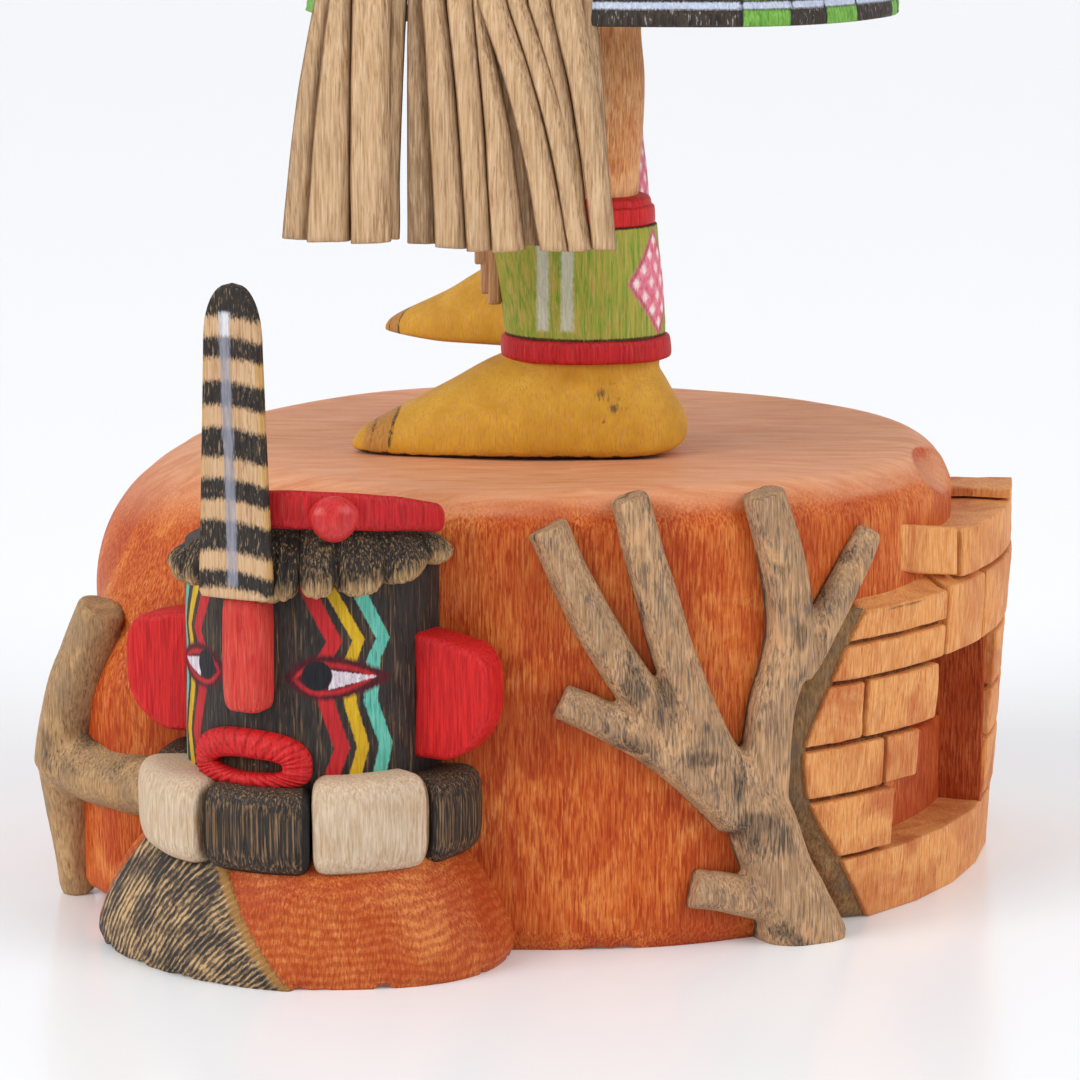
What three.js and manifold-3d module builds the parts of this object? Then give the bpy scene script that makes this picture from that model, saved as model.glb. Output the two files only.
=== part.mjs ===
// Kachina doll carved in cottonwood root, dancing on a carved base.
// Millimetres, +Z up. The origin is the middle of the base's underside, the base
// is longest along X, and the dancer faces -X with the left side towards -Y.
import * as THREE from 'three';
import { mergeVertices } from 'three/addons/utils/BufferGeometryUtils.js';
import Module from 'manifold-3d';

const wasm = await Module();
wasm.setup();

// ---------------------------------------------------------------- dimensions
const gap = 0.3;                       // clearance between neighbouring pieces

const block = {
  height: 72,
  half: { left: 72.8, right: 69, front: 57.5, back: 64 },
  curve: { left: 2, right: 2.1 },      // superellipse power of the outline
  shoulder: { left: 25, right: 8, front: 7, back: 10 },
  footInset: 1.4,
  footHeight: 3,
  sides: 40,
  rises: [24, 15, 8.5, 4.4, 1.6, 0],   // rings below the top
};

// Ruined masonry that wraps the right side, on an arc with its own centre.
const ruin = {
  centre: { x: -1, y: 19.6 },
  radius: 79.4,
  flare: 0.038,                        // the wall leans outwards by this share
  flareTop: 50,
  arcEnd: 2,                           // past this angle the wall curls inwards
  backAngle: 50,
  backRadius: 50,
  core: 40,
  cutBack: { from: -48, to: -34, far: 8, start: 79, radius: 70, above: 46 },
  mortar: { height: 1.1, depth: 1.3, slot: 0.8 }, // slot: width of an upright joint in degrees
  clear: 9,                            // how far a cut runs out past the wall's face
  lap: 0.05,                           // neighbouring lengths of wall run into each other
  steps: [
    { from: -57, to: -49, top: 46.4 },
    { from: -49, to: -30, top: 51.8 },
    { from: -30, to: -12.3, top: 60.4 },
    { from: -12.3, to: -3, top: 62 },
    { from: -3, to: 14, top: 52.2 },
    { from: 14, to: 31, top: 40 },
    { from: 31, to: 46, top: 30 },
  ],
  window: {
    back: 67,
    to: -17.5,
    rows: [
      { from: -43, bottom: 11, top: 21.4 },
      { from: -38, bottom: 21.4, top: 30 },
      { from: -34, bottom: 30, top: 40 },
    ],
    ledge: { radius: 72.5, from: -40, to: -15.5, bottom: 5, top: 25 },
  },
  beds: [                              // horizontal mortar joints
    { z: 52.2, from: -30, to: -3 },
    { z: 46.2, from: -57, to: -33 },
    { z: 40, from: -57, to: 14 },
    { z: 30, from: -57, to: -38 },
    { z: 30, from: -17.5, to: 31 },
    { z: 21.4, from: -57, to: -43 },
    { z: 21.4, from: -17.5, to: 46 },
    { z: 11, from: -53, to: 48 },
  ],
  joints: [                            // upright mortar joints, one row a course
    { bottom: 11, top: 21.4, angles: [2, 19, 36] },
    { bottom: 21.4, top: 30, angles: [-45.2, 10, 27] },
    { bottom: 30, top: 40, angles: [-49, 2, 19] },
    { bottom: 40, top: 52.2, angles: [-33, -20, -3] },
  ],
};

// Dead tree in relief on the front: each limb runs through x, z and its radius.
const tree = {
  lift: 0.8,
  sides: 8,
  limbs: [
    [[42.6, -1, 8], [40, 9.7, 7.4], [37, 17.6, 6.8], [33.4, 26, 6]],
    [[34.6, 22, 5.6], [26.8, 34.1, 4.9], [22.2, 42, 4.4], [17.8, 55, 3.4], [14.2, 71.2, 2.6]],
    [[22, 39, 4], [18, 44, 3.8], [10.2, 54, 3.3], [1.8, 67.4, 2.6]],
    [[28, 30.5, 3.8], [20.5, 34.8, 3.6], [12.3, 38.9, 3.3], [4, 42.4, 2.8]],
    [[34.6, 24, 5.4], [36.4, 36, 4.9], [40, 47, 4.2], [38.8, 58, 3.3], [34.8, 71, 2.6]],
    [[40.4, 45, 3.8], [45.6, 51, 3.2], [52, 62.3, 2.5]],
    [[40, 9.4, 3.7], [32, 9.8, 3.3], [24.8, 11.2, 3.1]],
  ],
};

// Broken branch standing against the left end.
const branch = {
  sides: 8,
  parts: [
    [[-75.4, -23, 0, 3.4], [-76.4, -24, 12, 3.9], [-76.8, -25.4, 24, 4.6]],
    [[-77, -25.4, 21, 4.8], [-74.8, -28, 33, 4.6], [-68.8, -31, 48.2, 4.1]],
    [[-77, -26, 22.6, 5], [-68, -32.5, 20.8, 5.2], [-56, -41, 20.4, 5]],
  ],
};

// Bust at the front left of the base.
const bust = { x: -33.5, y: -49.5, z: 16.5, facing: -25, scale: 1 };
const mound = {
  x: -35.5,
  y: -46,
  half: { left: 33, right: 32.5, front: 31, back: 16 },
  curve: { left: 1.65, right: 3 },
  sides: 24,
  levels: [                            // height, share of the half-width, of the half-depth
    [0, 1, 1],
    [3, 1.02, 1.01],
    [9, 0.95, 0.98],
    [14, 0.85, 0.94],
    [18, 0.74, 0.84],
    [21, 0.6, 0.68],
  ],
};

// Masked head, in its own frame: the face looks along -Y, z = 0 under the collar.
const mask = {
  radius: 20.3,
  bottom: 8,
  sides: 24,
  seat: 3,                             // how deep a set piece reaches into the wood
  hair: {
    locks: 15,
    lock: 23.4,
    parting: 22.2,
    lockEnd: 41.6,
    partingEnd: 43.6,
    shoulder: 47,
    crown: 55.8,
    crownRadius: 14.3,
    lean: 0.7,                         // the locks draw in towards the band
  },
  mouth: { width: 19, height: 8.6, bottom: 13.4, lip: 2.2, openWidth: 11.4, openHeight: 2.8, segments: 12 },
  nose: { width: 7.2, bottom: 24.2, top: 40.8, depth: 4.4, bevel: 1 },
  ear: { bottom: 14.6, top: 34.4, reach: 31.7, thickness: 7, forward: 2, corner: 6.5, bevel: 0.8 },
  band: { bottom: 51, top: 56.4, outer: 23.4, inner: 20.8 },
  knob: { azimuth: 34, z: 53.4, radius: 3.4, seat: 0.4, flat: 0.8, tall: 1.15 },
  feather: { bottom: 41.6, length: 47, half: 5.8, tipHalf: 4.3, tipLength: 12, thickness: 2.2, bevel: 0.5 },
};
const collar = {
  middle: 22.3,
  depth: 9,
  height: 13.5,
  squash: 0.94,                        // the collar is a little flatter front to back
  sectionSides: 6,
  square: 0.7,                         // power that squares the section's corners
  ends: [[0.01, 0.82], [0.12, 1], [0.88, 1], [0.99, 0.82]], // share of the roll, size
};

// Dancer.
const dancer = { sole: 72.3, legSides: 12, armSides: 7, torsoSides: 14 };
const legs = {
  near: { x: 0, y: -16, lift: 0, toeOut: 0, toeDown: 0 },
  far: { x: -1.6, y: 16, lift: 13.2, toeOut: -32, toeDown: 4.3 },
};
const legProfile = [                   // height over the sole, middle x, half x, half y
  [12, 8.2, 12, 9.4],
  [16, 8.5, 12.7, 10.4],
  [16.2, 8.5, 13.6, 11.3],             // ankle band
  [19.3, 8.4, 13.6, 11.3],
  [19.5, 8.3, 12.9, 10.8],             // legging
  [29, 7.9, 13.2, 11.4],
  [38.6, 7.3, 13.5, 11.6],
  [38.8, 7.2, 12.2, 10.8],             // knee band
  [42.4, 7, 12.2, 10.8],
  [42.6, 7, 9.9, 9.2],                 // bare leg
  [60, 7.2, 10.5, 9.8],
  [69, 7.4, 9.7, 9.6],
  [84, 9, 13, 12],
];
const foot = [                         // x, half width, height over the sole
  [-29.2, 1.6, 3],
  [-27.4, 4.6, 5],
  [-21.5, 7.6, 7.2],
  [-13.4, 9.4, 11],
  [-5, 10.2, 16],
  [6, 10.6, 18.5],
  [15, 10.4, 17],
  [20.5, 8.8, 14.5],
  [23.8, 4.6, 8],
];
const legFringe = { from: -9.6, to: -5, half: 1.6, bottom: 20.5, top: 38 };

const kilt = {
  sides: 24,
  curve: { left: 2, right: 2 },
  wall: 4.5,
  hollow: 9,
  hollowTaper: 7,
  levels: [                            // height, widest at x, left, right, near, far
    [142, 26, 63.3, 33.3, 48, 44],
    [145, 26, 63, 33, 47.6, 43.8],
    [156, 20, 53.6, 33.8, 42.6, 39.6],
    [170, 15, 42, 31, 35.2, 33.6],
    [184, 11.6, 31.4, 27.8, 28.4, 27.4],
    [194, 10, 26, 26, 24, 24],
    [194.2, 10, 27.2, 27.2, 25.2, 25.2], // sash tied at the waist
    [202, 10, 26.6, 26.6, 24.8, 24.8],
    [202.2, 10, 24.4, 24.4, 22.6, 22.6],
  ],
};
const torso = [                        // height, middle x, half x, half y
  [198, 9.6, 20, 21.5],
  [212, 8.6, 17, 20.4],
  [228, 7.2, 17.6, 23.6],
  [244, 5.6, 17.6, 26.4],
  [255, 4.6, 15, 25.6],
  [262, 3.8, 11.6, 18],
  [268, 3, 10.4, 11],
  [276, 2.4, 10, 10.4],
];
const arms = [                         // shoulder, elbow, wrist, hand; x, y, z, radius
  [[5, -24, 253, 8.2], [8, -34, 240, 7.4], [11.5, -38.5, 221, 6.6], [-6, -38, 222, 6.2],
    [-20, -34, 227, 5], [-24, -33, 229, 5.4], [-31, -31, 232, 6.4], [-35, -30, 233, 4]],
  [[5, 24, 253, 8.2], [8, 34, 240, 7.4], [10.5, 39, 222, 6.6], [-6, 38.5, 227, 6.2],
    [-17, 35, 239, 5], [-20, 34, 243, 5.4], [-24, 32, 250, 6.4], [-26, 31, 254, 4]],
];
const dancerHead = { x: 1.5, y: 0, z: 266, facing: -90, scale: 1.08 };

// Sash end with its long fringe, hanging at the dancer's left side.
const sash = {
  thickness: 5,
  levels: [                            // height, left x, slit x, right x, front y
    [109, -38.3, -20.1, 12.2, -48.6],
    [124, -36.2, -19.9, 11, -48.8],
    [133, -35, -19.8, 10.3, -48.8],
    [146, -33.4, -19.2, 9.3, -48],
    [166, -29, -15.6, 9, -41.6],
    [184, -23, -9.8, 9, -34],
    [198, -19.5, -6.5, 9, -30.6],
  ],
  slitTop: 133,
  slitHalf: 0.7,
  overlap: 0.3,                        // the two bundles run into each other over the slit
  strands: { left: 4, right: 7 },
  groove: 1.1,
  flat: 0.25,                          // share of a strand that slopes into the groove
};

// ---------------------------------------------------------------- mesh helpers
const radians = THREE.MathUtils.degToRad;
const point = (x, y, z) => new THREE.Vector3(x, y, z);

// Closed skin over rings of equal length, each counter-clockwise seen from the next.
function skin(rings, looped = false) {
  const count = rings[0].length;
  const places = rings.flat();
  const faces = [];
  const spans = looped ? rings.length : rings.length - 1;
  for (let i = 0; i < spans; i++) {
    const low = i * count;
    const high = ((i + 1) % rings.length) * count;
    for (let k = 0; k < count; k++) {
      const next = (k + 1) % count;
      faces.push(low + k, low + next, high + next, low + k, high + next, high + k);
    }
  }
  if (!looped) {
    const last = (rings.length - 1) * count;
    const middles = [rings[0], rings.at(-1)].map((ring) =>
      ring.reduce((sum, p) => sum.add(p), point(0, 0, 0)).divideScalar(count));
    places.push(...middles);
    for (let k = 0; k < count; k++) {
      const next = (k + 1) % count;
      faces.push(places.length - 2, next, k);
      faces.push(places.length - 1, last + k, last + next);
    }
  }
  const geometry = new THREE.BufferGeometry().setFromPoints(places);
  geometry.setIndex(faces);
  return geometry;
}

// A closed geometry as a solid that can be joined and cut.
function solid(geometry, matrix = null) {
  const bare = geometry.clone();
  bare.deleteAttribute('normal');
  bare.deleteAttribute('uv');
  if (matrix) bare.applyMatrix4(matrix);
  const merged = mergeVertices(bare, 1e-4);
  const index = merged.getIndex().array;
  const kept = [];
  for (let i = 0; i < index.length; i += 3) {
    const [a, b, c] = index.slice(i, i + 3);
    if (a !== b && b !== c && c !== a) kept.push(a, b, c);
  }
  return new wasm.Manifold(new wasm.Mesh({
    numProp: 3,
    vertProperties: new Float32Array(merged.getAttribute('position').array),
    triVerts: new Uint32Array(kept),
  }));
}

const join = (solids) => solids.reduce((whole, next) => whole.add(next));

function piece(name, shape, color, roughness) {
  const mesh = shape.getMesh();
  const geometry = new THREE.BufferGeometry();
  geometry.setAttribute('position', new THREE.BufferAttribute(mesh.vertProperties, 3));
  geometry.setIndex(new THREE.BufferAttribute(mesh.triVerts, 1));
  geometry.computeVertexNormals();
  const material = new THREE.MeshStandardMaterial({ color, roughness, metalness: 0 });
  const part = new THREE.Mesh(geometry, material);
  part.name = name;
  return part;
}

// Ring of a horizontal ellipse.
function ellipse(x, y, z, halfX, halfY, sides) {
  return Array.from({ length: sides }, (_, k) => {
    const turn = (2 * Math.PI * k) / sides;
    return point(x + halfX * Math.cos(turn), y + halfY * Math.sin(turn), z);
  });
}

// Ring of a superellipse with its own half-width on each side.
function lobedRing(x, y, z, half, curve, sides) {
  return Array.from({ length: sides }, (_, k) => {
    const turn = (2 * Math.PI * k) / sides;
    const c = Math.cos(turn);
    const s = Math.sin(turn);
    const acrossSide = c < 0 ? 'left' : 'right';
    const alongSide = s < 0 ? 'front' : 'back';
    const power = 2 / curve[acrossSide];
    return point(
      x + Math.sign(c) * half[acrossSide] * Math.abs(c) ** power,
      y + Math.sign(s) * half[alongSide] * Math.abs(s) ** power,
      z,
    );
  });
}

// Round limb through [x, y, z, radius] stations.
function limb(stations, sides) {
  const rings = stations.map(([x, y, z, radius], i) => {
    const before = stations[Math.max(i - 1, 0)];
    const after = stations[Math.min(i + 1, stations.length - 1)];
    const along = point(...after.slice(0, 3)).sub(point(...before.slice(0, 3))).normalize();
    const side = point(0.31, -0.9, 0.3).cross(along).normalize();
    const out = along.clone().cross(side);
    return Array.from({ length: sides }, (_, k) => {
      const turn = (2 * Math.PI * k) / sides;
      return point(x, y, z)
        .addScaledVector(side, radius * Math.cos(turn))
        .addScaledVector(out, radius * Math.sin(turn));
    });
  });
  return skin(rings);
}

// Upright prism over an outline in plan.
function prism(outline, bottom, top) {
  const shape = new THREE.Shape(outline.map(([x, y]) => new THREE.Vector2(x, y)));
  const geometry = new THREE.ExtrudeGeometry(shape, { depth: top - bottom, bevelEnabled: false });
  return geometry.translate(0, 0, bottom);
}

// ---------------------------------------------------------------- base block
function shoulderInset(z, radius) {
  const above = Math.max(0, z - (block.height - radius));
  return radius - Math.sqrt(Math.max(0, radius ** 2 - above ** 2));
}

function blockHalf(z, swell = 0) {
  const foot = Math.max(0, 1 - z / block.footHeight) * block.footInset;
  const half = {};
  for (const side of Object.keys(block.half)) {
    half[side] = block.half[side] + swell - foot - shoulderInset(z, block.shoulder[side]);
  }
  return half;
}

function blockSolid(swell = 0) {
  const heights = [0, block.footHeight, ...block.rises.map((rise) => block.height - rise)];
  const rings = heights.map((z) =>
    lobedRing(0, 0, z, blockHalf(z, swell), block.curve, block.sides));
  return solid(skin(rings));
}

// Depth of the block's front face at x and z.
function frontFace(x, z) {
  const half = blockHalf(z);
  const side = x < 0 ? 'left' : 'right';
  const power = block.curve[side];
  const reach = Math.min(1, Math.abs(x) / half[side]);
  return -half.front * (1 - reach ** power) ** (1 / power);
}

// ---------------------------------------------------------------- ruined wall
function wallRadius(angle) {
  const t = THREE.MathUtils.smoothstep(angle, ruin.arcEnd, ruin.backAngle);
  return THREE.MathUtils.lerp(ruin.radius, ruin.backRadius, t);
}

function onWall(angle, radius) {
  const turn = radians(angle);
  return [ruin.centre.x + radius * Math.cos(turn), ruin.centre.y + radius * Math.sin(turn)];
}

// Piece of wall between two angles; inner and outer are radii worked out from the angle.
function arcWall(from, to, bottom, top, inner, outer) {
  const spans = Math.max(1, Math.round((to - from) / 10));
  const angles = Array.from({ length: spans + 1 }, (_, k) => from + ((to - from) * k) / spans);
  const outside = angles.map((angle) => onWall(angle, outer(angle)));
  const inside = angles.map((angle) => onWall(angle, inner(angle))).reverse();
  const wall = prism([...outside, ...inside], bottom, top);
  const places = wall.getAttribute('position');
  const { x, y } = ruin.centre;
  for (let i = 0; i < places.count; i++) {
    const grow = 1 + ruin.flare * Math.min(1, Math.max(0, places.getZ(i) / ruin.flareTop));
    places.setXY(i, x + (places.getX(i) - x) * grow, y + (places.getY(i) - y) * grow);
  }
  return solid(wall);
}

// The block with the masonry on its right side. Above the steps the block is cut
// back, so each step has a ledge.
function blockWithRuin() {
  const face = (depth) => (angle) => wallRadius(angle) - depth;
  const core = () => ruin.core;
  const { cutBack, window, mortar, clear } = ruin;
  const behind = (angle) => THREE.MathUtils.lerp(
    cutBack.start, cutBack.radius, THREE.MathUtils.smoothstep(angle, cutBack.from, cutBack.to));
  const walls = ruin.steps.map(({ from, to, top }) =>
    arcWall(from - ruin.lap, to, 0, top, core, face(0)));
  const cut = (from, to, bottom, top, inner) =>
    arcWall(from, to, bottom, top, inner, face(-clear));
  let whole = blockSolid()
    .subtract(cut(cutBack.from, cutBack.far, cutBack.above, block.height + 1, behind))
    .add(join(walls));
  for (const { from, bottom, top } of window.rows) {
    whole = whole.subtract(cut(from, window.to, bottom, top + ruin.lap, () => window.back));
  }
  const { ledge } = window;
  whole = whole.add(arcWall(ledge.from, ledge.to, ledge.bottom, ledge.top, core,
    () => ledge.radius));
  const groove = (from, to, bottom, top) => cut(from, to, bottom, top, face(mortar.depth));
  const grooves = ruin.beds.map(({ z, from, to }) =>
    groove(from, to, z - mortar.height / 2, z + mortar.height / 2));
  for (const { bottom, top, angles } of ruin.joints) {
    for (const angle of angles) {
      grooves.push(groove(angle - mortar.slot / 2, angle + mortar.slot / 2, bottom, top));
    }
  }
  return whole.subtract(join(grooves));
}

// ---------------------------------------------------------------- tree and branch
function treeLimbs() {
  return tree.limbs.map((stations) => solid(limb(
    stations.map(([x, z, radius]) => [x, frontFace(x, Math.max(z, 0)) - tree.lift, z, radius]),
    tree.sides,
  )));
}

function branchParts() {
  return branch.parts.map((stations) => solid(limb(stations, branch.sides)));
}

// ---------------------------------------------------------------- masked heads
function placement({ x, y, z, facing, scale }) {
  return new THREE.Matrix4()
    .makeTranslation(x, y, z)
    .multiply(new THREE.Matrix4().makeRotationZ(radians(facing)))
    .multiply(new THREE.Matrix4().makeScale(scale, scale, scale));
}

// Point at an azimuth from the face, turning towards the wearer's left.
function around(azimuth, radius, z) {
  const turn = radians(azimuth);
  return point(radius * Math.sin(turn), -radius * Math.cos(turn), z);
}

function headCore(matrix, swell = 0) {
  const { radius, bottom, sides, hair, band } = mask;
  const core = skin([
    ellipse(0, 0, bottom, radius + swell, radius + swell, sides),
    ellipse(0, 0, hair.shoulder, radius + swell, radius + swell, sides),
  ]);
  const fringe = (lockRadius, lockZ, partingRadius, partingZ) =>
    Array.from({ length: hair.locks * 2 }, (_, k) => {
      const lock = k % 2 === 0;
      const azimuth = (180 * k) / hair.locks;
      return around(azimuth, (lock ? lockRadius : partingRadius) + swell, lock ? lockZ : partingZ);
    });
  const inside = radius - mask.seat;
  const level = (ringRadius, z) => fringe(ringRadius, z, ringRadius, z);
  const locks = skin([
    level(inside, hair.partingEnd - swell),
    fringe(hair.lock, hair.lockEnd - swell, hair.parting, hair.partingEnd - swell),
    fringe(hair.lock - hair.lean, hair.shoulder, hair.parting - hair.lean, hair.shoulder),
    level(band.inner - gap, band.bottom - gap),
    level(hair.crownRadius, hair.crown + swell),
  ]);
  return solid(core, matrix).add(solid(locks, matrix));
}

// Stuffed rolls of the collar, each rounded at its ends.
function collarRolls(count, first) {
  const spread = 360 / count;
  const section = Array.from({ length: collar.sectionSides }, (_, k) => {
    const turn = (-2 * Math.PI * k) / collar.sectionSides;
    const up = Math.sign(Math.sin(turn)) * Math.abs(Math.sin(turn)) ** collar.square;
    return [(collar.depth / 2) * Math.cos(turn), (collar.height / 2) * up];
  });
  return Array.from({ length: count }, (_, i) => {
    const rings = collar.ends.map(([share, size]) => {
      const azimuth = first + (i + share) * spread;
      return section.map(([out, up]) => {
        const p = around(azimuth, collar.middle + out * size, collar.height / 2 + up * size);
        return point(p.x, p.y * collar.squash, p.z);
      });
    });
    return skin(rings);
  });
}

// Raised lips round an open mouth, bent to the face.
function mouthRing(radius) {
  const { width, height, bottom, lip, openWidth, openHeight, segments } = mask.mouth;
  const middle = bottom + height / 2;
  const place = (wide, high, turn, out) => {
    const azimuth = THREE.MathUtils.radToDeg(((wide / 2) * Math.cos(turn)) / radius);
    return around(azimuth, radius + out, middle + (high / 2) * Math.sin(turn));
  };
  const rings = Array.from({ length: segments }, (_, k) => {
    const turn = (2 * Math.PI * k) / segments;
    const outer = (out) => place(width, height, turn, out);
    const inner = (out) => place(openWidth, openHeight, turn, out);
    return [inner(-1), inner(lip), outer(lip), outer(-1)];
  });
  return skin(rings, true);
}

function earShape() {
  const { bottom, top, reach, thickness, forward, corner, bevel } = mask.ear;
  const root = mask.radius - mask.seat - bevel;
  const shape = new THREE.Shape();
  shape.moveTo(root, bottom + bevel);
  shape.lineTo(reach - bevel - corner, bottom + bevel);
  shape.absarc(reach - bevel - corner, bottom + bevel + corner, corner, -Math.PI / 2, 0);
  shape.absarc(reach - bevel - corner, top - bevel - corner, corner, 0, Math.PI / 2);
  shape.lineTo(root, top - bevel);
  const geometry = new THREE.ExtrudeGeometry(shape, {
    depth: thickness - 2 * bevel,
    bevelThickness: bevel,
    bevelSize: bevel,
    bevelSegments: 1,
    curveSegments: 3,
  });
  geometry.translate(0, 0, forward - (thickness / 2 - bevel));
  return geometry.rotateX(Math.PI / 2);
}

function noseShape() {
  const { width, bottom, top, depth, bevel } = mask.nose;
  const from = mask.radius - mask.seat;
  const half = width / 2 - bevel;
  const shape = new THREE.Shape();
  shape.moveTo(-half, bottom + bevel);
  shape.lineTo(half, bottom + bevel);
  shape.lineTo(half, top - bevel);
  shape.lineTo(-half, top - bevel);
  const geometry = new THREE.ExtrudeGeometry(shape, {
    depth: mask.seat + depth - 2 * bevel,
    bevelThickness: bevel,
    bevelSize: bevel,
    bevelSegments: 2,
  });
  geometry.rotateX(Math.PI / 2);
  return geometry.translate(0, -from - bevel, 0);
}

function featherShape() {
  const { bottom, length, half, tipHalf, tipLength, thickness, bevel } = mask.feather;
  const start = mask.band.outer + gap;
  const top = bottom + length;
  const tipHigh = 2 * bevel;
  const shape = new THREE.Shape();
  shape.moveTo(-half, bottom);
  shape.quadraticCurveTo(0, bottom - tipHigh, half, bottom);
  shape.lineTo(half - tipHigh, top - tipLength);
  shape.quadraticCurveTo(tipHalf, top, 0, top);
  shape.quadraticCurveTo(-tipHalf, top, tipHigh - half, top - tipLength);
  const geometry = new THREE.ExtrudeGeometry(shape, {
    depth: thickness - 2 * bevel,
    bevelThickness: bevel,
    bevelSize: bevel,
    bevelSegments: 1,
    curveSegments: 5,
  });
  geometry.rotateX(Math.PI / 2);
  return geometry.translate(0, -start - bevel, 0);
}

function bandShape(from, to) {
  const { bottom, top, outer, inner } = mask.band;
  const spans = Math.round((to - from) / 15);
  const azimuths = Array.from({ length: spans + 1 }, (_, k) => from + ((to - from) * k) / spans);
  const outside = azimuths.map((azimuth) => around(azimuth, outer, 0));
  const inside = azimuths.map((azimuth) => around(azimuth, inner, 0)).reverse();
  return prism([...outside, ...inside].map(({ x, y }) => [x, y]), bottom, top);
}

function knobShape() {
  const { azimuth, z, radius, seat, flat, tall } = mask.knob;
  const place = around(azimuth, mask.band.outer - seat, z);
  return new THREE.SphereGeometry(radius, 8, 6).scale(1, flat, tall)
    .rotateZ(radians(azimuth)).translate(place.x, place.y, place.z);
}

// What is carved in one with the wood below it, and what is set on it.
function maskedHead(place, rolls, band) {
  const matrix = placement(place);
  const clear = headCore(matrix, gap / place.scale);
  const fitted = (geometry) => solid(geometry, matrix).subtract(clear);
  const headband = solid(bandShape(band.from, band.to), matrix).add(solid(knobShape(), matrix));
  return {
    carved: join([
      headCore(matrix),
      solid(mouthRing(mask.radius), matrix),
      ...collarRolls(rolls.count, rolls.first).map((roll) => solid(roll, matrix)),
    ]),
    headband: headband.subtract(clear),
    leftEar: fitted(earShape()),
    rightEar: fitted(earShape().rotateY(Math.PI).translate(0, 0, mask.ear.bottom + mask.ear.top)),
    nose: fitted(noseShape()),
    feather: solid(featherShape(), matrix),
  };
}

// ---------------------------------------------------------------- dancer
function legSolid({ x: offset, y, lift, toeOut, toeDown }) {
  const floor = dancer.sole + lift;
  const column = skin(legProfile.map(([z, x, halfX, halfY]) =>
    ellipse(x, 0, z, halfX, halfY, dancer.legSides)));
  const sole = skin(foot.map(([x, half, height]) => footSection(x, half, height)));
  const ankle = legProfile[0][1];
  sole.translate(-ankle, 0, 0)
    .rotateY(radians(-toeDown))
    .rotateZ(radians(toeOut))
    .translate(ankle, 0, 0);
  const { from, to, half, bottom, top } = legFringe;
  const fringe = new THREE.BoxGeometry(to - from, half * 2, top - bottom)
    .translate((from + to) / 2, 0, (bottom + top) / 2);
  return join([column, sole, fringe].map((shape) => solid(shape.translate(offset, y, floor))));
}

// Moccasin section across the foot: flat below, rounded above.
function footSection(x, half, height) {
  const outline = [
    [0.84, 0], [1, 0.14], [0.97, 0.42], [0.74, 0.8], [0.3, 0.98],
    [-0.3, 0.98], [-0.74, 0.8], [-0.97, 0.42], [-1, 0.14], [-0.84, 0],
  ];
  return outline.map(([across, up]) => point(x, half * across, height * up));
}

function kiltRing([z, x, left, right, front, back], grow, height = z) {
  const half = { left: left + grow, right: right + grow, front: front + grow, back: back + grow };
  return lobedRing(x, 0, height, half, kilt.curve, kilt.sides);
}

function kiltSolid(swell = 0) {
  return solid(skin(kilt.levels.map((level) => kiltRing(level, swell))));
}

function kiltHollow() {
  const { wall, hollow, hollowTaper, levels } = kilt;
  const hem = levels[0];
  return solid(skin([
    kiltRing(hem, -wall, hem[0] - 1),
    kiltRing(hem, -wall - hollowTaper, hem[0] + hollow),
  ]));
}

function torsoSolid() {
  return solid(skin(torso.map(([z, x, halfX, halfY]) =>
    ellipse(x, 0, z, halfX, halfY, dancer.torsoSides))));
}

// ---------------------------------------------------------------- sash
// Strands stand side by side: each is a low ridge across the front of the bundle.
function bundle(left, right, strands) {
  const rings = sash.levels.map((level) => {
    const [z, , , , front] = level;
    const start = left(level);
    const width = (right(level) - start) / strands;
    const ring = [];
    for (let k = 0; k < strands; k++) {
      ring.push(point(start + width * k, front + sash.groove, z));
      ring.push(point(start + width * (k + sash.flat), front, z));
      ring.push(point(start + width * (k + 1 - sash.flat), front, z));
    }
    ring.push(point(right(level), front + sash.groove, z));
    for (let k = strands; k >= 0; k -= 2) {
      ring.push(point(start + width * k, front + sash.thickness, z));
    }
    return ring;
  });
  return solid(skin(rings));
}

function sashSolid() {
  const { slitHalf, slitTop, overlap, strands } = sash;
  const parting = ([z]) => (z >= slitTop ? -overlap : slitHalf);
  const leftBundle = bundle((level) => level[1], (level) => level[2] - parting(level),
    strands.left);
  const rightBundle = bundle((level) => level[2] + parting(level), (level) => level[3],
    strands.right);
  return leftBundle.add(rightBundle);
}

// ---------------------------------------------------------------- assembly
const bustHead = maskedHead(bust, { count: 9, first: -16 }, { from: -20, to: 86 });
const figureHead = maskedHead(dancerHead, { count: 8, first: -22.5 }, { from: -172, to: 172 });

const moundSolid = solid(skin(mound.levels.map(([z, wide, deep]) => {
  const { left, right, front, back } = mound.half;
  const half = { left: left * wide, right: right * wide, front: front * deep, back };
  return lobedRing(mound.x, mound.y, z, half, mound.curve, mound.sides);
})));

const base = join([
  blockWithRuin(),
  ...treeLimbs(),
  ...branchParts(),
  moundSolid,
  bustHead.carved,
]).trimByPlane([0, 0, 1], 0);

const figure = join([
  legSolid(legs.near),
  legSolid(legs.far),
  kiltSolid().subtract(kiltHollow()),
  torsoSolid(),
  ...arms.map((stations) => solid(limb(stations, dancer.armSides))),
  figureHead.carved,
]);

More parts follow.
